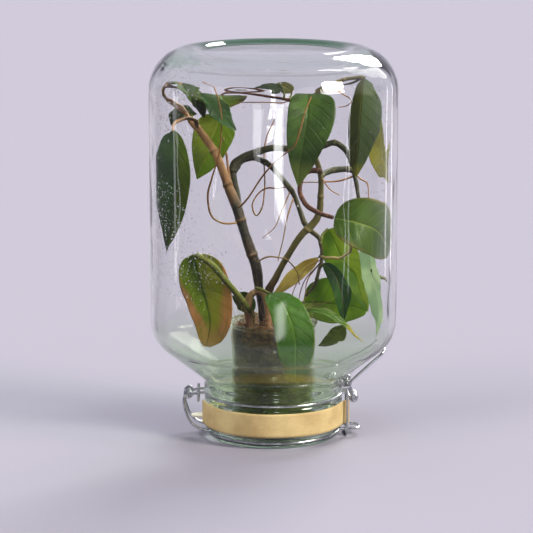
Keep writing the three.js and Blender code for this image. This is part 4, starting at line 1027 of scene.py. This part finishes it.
low_left = [where, (-0.052, -0.069, 0.136)]
spot = tree.node("ShaderNodeVectorMath", {"operation": "DISTANCE"}, low_left, output="Value")
few = (left_side + right_side + below_foot + 0.03) * patchy.band(0.38, 0.62)
few = few + 2.0 * spot.band(0.026, 0.008)
spots = tree.node(
    "GeometryNodeDistributePointsOnFaces",
    {"distribute_method": "RANDOM"},
    {"Mesh": given["Geometry"], "Density": few * given["Density"], "Seed": given["Seed"]},
)
turn = Value(tree, spots.socket.node.outputs["Rotation"])
bead = tree.node("GeometryNodeMeshUVSphere", {}, {"Segments": 6, "Rings": 4, "Radius": 1.0})
flat_bead = tree.node("GeometryNodeTransform", {}, {"Geometry": bead, "Scale": (1, 1, 0.45)})
chance = tree.node(
    "FunctionNodeRandomValue",
    {"data_type": "FLOAT"},
    {2: 0.25, 3: 1.0, "ID": tree.node("GeometryNodeInputIndex"), "Seed": given["Seed"]},
    output=1,
)
drops = tree.node(
    "GeometryNodeInstanceOnPoints",
    {},
    {"Points": spots, "Instance": flat_bead, "Rotation": turn, "Scale": chance**2.2 * given["Size"]},
)
drops = tree.node("GeometryNodeSetShadeSmooth", {}, {"Geometry": drops})
tree_output(tree, drops, given["Material"])
water = clear_look("water", (1, 1, 1, 1), 1.33)
drop_inputs = {"Density": 110000.0, "Size": 0.00075, "Seed": 4, "Material": water}
mist = grown("condensation", drop_wall, drop_tree, drop_inputs)
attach(mist, "jar")

# ---- Steel wires --------------------------------------------------------------------------------
# Bright drawn wire, 2 mm thick. One wire sits in the neck's groove, one in the lid's, a lever turns
# in the neck wire's eyes, and a bail hangs on the lever's cranks and pulls the lid up by its lip.

WIRE_R = 1.0
EYE_R = 2.5
LATCH = (59, 27.8)
BAIL = (54, 39.6)
HINGE = (-62.4, 31)
HINGE_Y = 6.5
LATCH_Y = 4.6
LID_ARM_Y = 10
BAIL_Y = 10
NECK_WIRE_Z = 32
LID_WIRE_Z = 4.4
look = Look("drawn_steel")
drawn = look.noise(260, 3.0)
steel = look.coated(
    Base_Color=look.mix(drawn.band(0.3, 0.7), tint("a4a7ac"), tint("ccced2")),
    Metallic=1.0,
    Roughness=0.16 + 0.08 * drawn,
    Normal=look.bump(look.noise(1800, 2.0), 0.00005),
)


def loop(x, y, z, radius, standing):
    """A ring of wire, which stands in the plane of X and Z or lies flat."""
    turns = np.radians(np.arange(0, 360, 15))
    if standing:
        return [(x + radius * math.cos(a), y, z + radius * math.sin(a)) for a in turns]
    return [(x + radius * math.cos(a), y + radius * math.sin(a), z) for a in turns]


def mirrored(path):
    """The same run of wire at the far side."""
    return [(x, -y, z) for x, y, z in path]


def both_sides(path):
    """A run of wire that crosses to the far side and comes back the same way."""
    return [*path, *mirrored(path)[::-1]]


def wires(name, limbs, spacing=0.8):
    """One piece of bent wire."""
    return bars(name, limbs, steel, sides=16, spacing=spacing)


NECK_RING_R = 50.25
hinge_arm = [(-NECK_RING_R + 0.6, -HINGE_Y, NECK_WIRE_Z), (-54, -HINGE_Y, NECK_WIRE_Z)]
hinge_arm += [(HINGE[0] + EYE_R, -HINGE_Y, HINGE[1])]
hinge_clip = [(-55.2, -HINGE_Y, 25.5), (-55.2, -HINGE_Y, 36)]
latch_arm = [(NECK_RING_R - 0.6, -LATCH_Y, NECK_WIRE_Z), (53, -LATCH_Y, NECK_WIRE_Z - 0.4)]
latch_arm += [(LATCH[0] - EYE_R + 0.2, -LATCH_Y, LATCH[1] + 1)]
arms = (hinge_arm, hinge_clip, latch_arm)
neck_arms = [(side, WIRE_R) for arm in arms for side in (arm, mirrored(arm))]
neck_eyes = [
    (loop(x, y, z, EYE_R, True), WIRE_R, True)
    for (x, z), reach in ((HINGE, HINGE_Y), (LATCH, LATCH_Y))
    for y in (-reach, reach)
]
neck_ring = (loop(0, 0, NECK_WIRE_Z, NECK_RING_R, False), WIRE_R, True)
neck_wire = wires("neck_band_wire", [neck_ring, *neck_arms, *neck_eyes])
lid_arm = [(-46.9, LID_WIRE_Z), (-51, 5), (-57, 7.5), (-61.5, 12), (-64, 18), (-65.6, 25)]
lid_arm = [(x, -LID_ARM_Y, z) for x, z in lid_arm] + [(-65, -9.9, 29.6), (-63.4, -9.4, 31)]
lid_arm += [(HINGE[0], -7.8, HINGE[1]), (HINGE[0], -4.4, HINGE[1])]
lip = [(47.4, -7, LID_WIRE_Z), (51, -7, 5.3), (57, -7, 5.4), (61.6, -6.4, 5.3), (63, -4, 5.2)]
lid_ring = (loop(0, 0, LID_WIRE_Z, 48.5, False), WIRE_R, True)
lid_runs = [(path, WIRE_R) for path in (lid_arm, mirrored(lid_arm), both_sides(lip))]
lid_wire = wires("lid_band_wire", [lid_ring, *lid_runs])
lever = [(LATCH[0], -2.9, LATCH[1]), (LATCH[0], -6.4, LATCH[1]), (LATCH[0] - 0.6, -7.4, LATCH[1] + 1.4)]
lever += [(BAIL[0] + 0.8, -7.4, BAIL[1] - 1.9), (BAIL[0], -8.2, BAIL[1]), (BAIL[0], -11.8, BAIL[1])]
lever += [(BAIL[0] + 1.2, -12.6, BAIL[1] + 1.1), (67, -12.4, 51.6), (79, -11.4, 62.4), (80.8, -8.8, 64)]
lever_wire = wires("locking_lever", [(both_sides(lever), WIRE_R)], spacing=0.7)
bail = [(BAIL[0], -BAIL_Y, BAIL[1] - EYE_R), (BAIL[0], -BAIL_Y, 22), (BAIL[0], -BAIL_Y, 4.6)]
bail += [(BAIL[0], -9.3, 2.4), (BAIL[0], -7.2, 1.7)]
bail_eyes = [(loop(BAIL[0], y, BAIL[1], EYE_R, True), WIRE_R, True) for y in (-BAIL_Y, BAIL_Y)]
link_wire = wires("tension_bail", [*bail_eyes, (both_sides(bail), WIRE_R)], spacing=0.7)
for part, body, node in (
    (neck_wire, "jar", "neck_wire"),
    (lid_wire, "jar", "lid_wire"),
    (lever_wire, "lever", "lever_wire"),
    (link_wire, "link", "link_wire"),
):
    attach(part, body)
    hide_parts(node)

# ---- Paper band ---------------------------------------------------------------------------------
# A bare strip of brown kraft paper, wrapped round the front of the mouth. It buckles a little, and its
# ends stand off by the hinge and the latch.

PAPER_LOW = 9.2
PAPER_HIGH = 26.7
PAPER_IN = 51.15
PAPER_THICK = 0.4
route = [(-PAPER_IN - 0.6, -5.6)]
for degree in range(189, 348, 3):
    turn = math.radians(degree)
    route.append((PAPER_IN * math.cos(turn), PAPER_IN * math.sin(turn)))
route += [(52.6, -7.2), (55.8, -6.4)]
line = smooth_path([(x, y, 0) for x, y in route], 0.8)
heading = np.gradient(line, axis=0)
outward = np.cross(heading / np.linalg.norm(heading, axis=1)[:, None], (0, 0, 1))
levels = 10
points = []
for skin in (0.0, PAPER_THICK):
    for i, (place, way) in enumerate(zip(line, outward)):
        for j in range(levels + 1):
            up = PAPER_LOW + (PAPER_HIGH - PAPER_LOW) * j / levels
            buckle = 0.12 * (noise.noise(Vector((i / 14, j / 5, 3))) + 0.6)
            edge = 0.25 * noise.noise(Vector((i / 30, 7, 1))) * abs(2 * j / levels - 1)
            points.append((*(place + way * (skin + buckle))[:2], up + edge))
paper = piece_of("kraft_band", points, shell_faces(len(line) - 1, levels))
look = Look("kraft_paper")
pulp = look.noise(900, 5.0)
fibre = look.noise(300, 6.0, look.place((1, 1, 5)))
cloud = look.noise(45, 3.0)
sheet = look.mix(cloud.band(0.3, 0.7), tint("a89060"), tint("c4b07c"))
sheet = look.mix(fibre.band(0.55, 0.8) * 0.5, sheet, tint("96784a"))
sheet = look.mix(pulp.band(0.6, 0.85) * 0.5, sheet, tint("dcc088"))
nap = look.bump(fibre + 0.6 * pulp, 0.00015)
paper.data.materials.append(look.coated(Base_Color=sheet, Roughness=0.78, Normal=nap))
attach(paper, "jar")
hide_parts("paper_band")

# ---- Floor and light ----------------------------------------------------------------------------
# A plain pale floor that reaches past the horizon, a soft sky, a window light at the right, a fill at
# the left and a light from behind. Upright glowing strips show only as reflections in the glass.

FLOOR_R = 9.0
FLOOR_SIDES = 72
turns = np.radians(np.arange(FLOOR_SIDES) * 360 / FLOOR_SIDES)
floor_points = [(0, 0, 0)] + [(FLOOR_R * math.cos(a), FLOOR_R * math.sin(a), 0) for a in turns]
floor_faces = [(0, i, i % FLOOR_SIDES + 1) for i in range(1, FLOOR_SIDES + 1)]
floor_mesh = bpy.data.meshes.new("floor")
floor_mesh.from_pydata(floor_points, [], floor_faces)
floor = link("floor", floor_mesh)
look = Look("pale_floor")


def dimmed(wiring, east, north, behind, in_line):
    """How far floor and sky are dimmed where the glass mirrors what is in front of the jar."""
    bounces = wiring.node("ShaderNodeLightPath", output="Glossy Depth")
    left = east.band(0.0, -0.3)
    in_front = north.band(behind, in_line) * (1.0 - left) + north.band(0.84, 0.6) * left
    return (bounces.band(0, 1) - 0.8 * bounces.band(1, 2)) * in_front


reach = look.node("ShaderNodeVectorMath", {"operation": "LENGTH"}, [look.place()], output="Value")
dim = dimmed(look, look.axis("X") / reach, look.axis("Y") / reach, 0.9, 0.0) * reach.band(0.22, 0.45)
pale = look.mix(dim, tint("8c8b99"), tint("3e3e46"))
floor.data.materials.append(look.coated(Base_Color=pale, Roughness=0.8, Specular_IOR_Level=0.0))

world = bpy.data.worlds.new("sky")
bpy.context.scene.world = world
world.use_nodes = True
sky = Wiring(world.node_tree)
sky.tree.nodes.clear()
toward = sky.node("ShaderNodeTexCoord", output="Generated")
east, north, rise = (toward.part(letter) for letter in "XYZ")
dim = dimmed(sky, east, north, 0.75, 0.35)
beside = abs(east).band(0.25, 0.6) * rise.band(0.1, 0.4)
gleam = 0.45 * rise.band(-0.05, 0.75)
power = 1.0 - dim * (0.93 - gleam) * (1.0 - 0.7 * beside)
backdrop = sky.node("ShaderNodeBackground", {}, {"Color": tint("c3c0cf"), "Strength": power})
world_out = sky.tree.nodes.new("ShaderNodeOutputWorld")
sky.tree.links.new(backdrop.socket, world_out.inputs[0])
settings = bpy.context.scene
settings.view_settings.view_transform = "Standard"
settings.cycles.caustics_reflective = False
settings.cycles.caustics_refractive = False
settings.cycles.max_bounces = 24
settings.cycles.glossy_bounces = 16
settings.cycles.transmission_bounces = 24
settings.cycles.transparent_max_bounces = 24


def sun(name, direction, strength, softness, colour):
    """A far lamp in a direction, as wide as its softness in degrees."""
    lamp = bpy.data.objects.new(name, bpy.data.lights.new(name, "SUN"))
    lamp.data.energy = strength
    lamp.data.angle = math.radians(softness)
    lamp.data.color = colour[:3]
    lamp.rotation_euler = (-Vector(direction)).to_track_quat("-Z", "Y").to_euler()
    settings.collection.objects.link(lamp)
    return lamp


BEHIND = (0.45, 0.9, 0.6)
sun("window_light", (0.88, -0.45, 0.64), strength=4.4, softness=16, colour=tint("fff5e4"))
fill = sun("side_light", (-0.6, -0.45, 0.75), strength=1.7, softness=25, colour=tint("fff8ee"))
fill.visible_glossy = fill.visible_transmission = False
back_light = sun("back_light", BEHIND, strength=4.6, softness=25, colour=tint("fffdf4"))
back_light.visible_transmission = False
back_gleam = sun("back_gleam", BEHIND, strength=0.24, softness=25, colour=tint("fffdf4"))
back_gleam.visible_diffuse = False


def reflected(name, azimuth, width, strength, distance=0.5, low=0.03, high=0.3, wisps=0.0, edge=0.75):
    """An upright glowing strip that only shows as a reflection. Azimuth 0 is the front."""
    turn = math.radians(azimuth)
    centre = Vector((math.sin(turn), -math.cos(turn), 0)) * distance
    way = Vector((math.cos(turn), math.sin(turn), 0)) * width / 2
    mesh = bpy.data.meshes.new(name)
    corners = [centre - way, centre + way]
    points = [(c.x, c.y, z) for c, z in zip((*corners, *corners[::-1]), (low, low, high, high))]
    mesh.from_pydata(points, [], [(0, 1, 2, 3)])
    mesh.uv_layers.new(name="UVMap").data.foreach_set("uv", (0, 0, 1, 0, 1, 1, 0, 1))
    strip = link(name, mesh)
    look = Look(name + "_glow")
    uv = look.node("ShaderNodeTexCoord", output="UV")
    up = uv.part("Y")
    window = abs(uv.part("X") * 2 - 1).band(1.0, edge) * abs(up * 2 - 1).band(1.0, 0.86)
    if wisps:
        stretched = look.node("ShaderNodeMapping", {}, {"Vector": uv, "Scale": (4, 9, 1)})
        torn = look.noise(1.0, 4.0, stretched)
        window = window * (torn * 1.4 - 0.55 + (up - wisps) * 3).band(0.0, 0.35)
    glow = look.node("ShaderNodeEmission", {}, {"Color": (1, 1, 1, 1), "Strength": window * strength})
    clear = look.node("ShaderNodeBsdfTransparent")
    strip.data.materials.append(look.done(look.node("ShaderNodeAddShader", {}, [glow, clear])))
    strip.visible_camera = strip.visible_diffuse = strip.visible_shadow = False
    return strip


reflected("strip_front", azimuth=4.0, width=0.15, strength=9, distance=0.9, low=0.02, high=0.195,
          wisps=0.12, edge=0.6)
reflected("strip_soft", azimuth=-15.0, width=0.12, strength=3, distance=0.9, low=0.01, high=0.2, wisps=0.5)
reflected("strip_low", azimuth=5.0, width=0.1, strength=4, distance=0.39, low=0.0, high=0.056,
          wisps=0.3, edge=0.0)
reflected("strip_right", azimuth=67.0, width=0.014, strength=4)
reflected("strip_left", azimuth=-95.0, width=0.03, strength=2)
for name, azimuth, width in (("strip_far_right", 118.0, 0.022), ("strip_rear_right", 131.0, 0.02)):
    reflected(name, azimuth, width, strength=3).visible_transmission = False
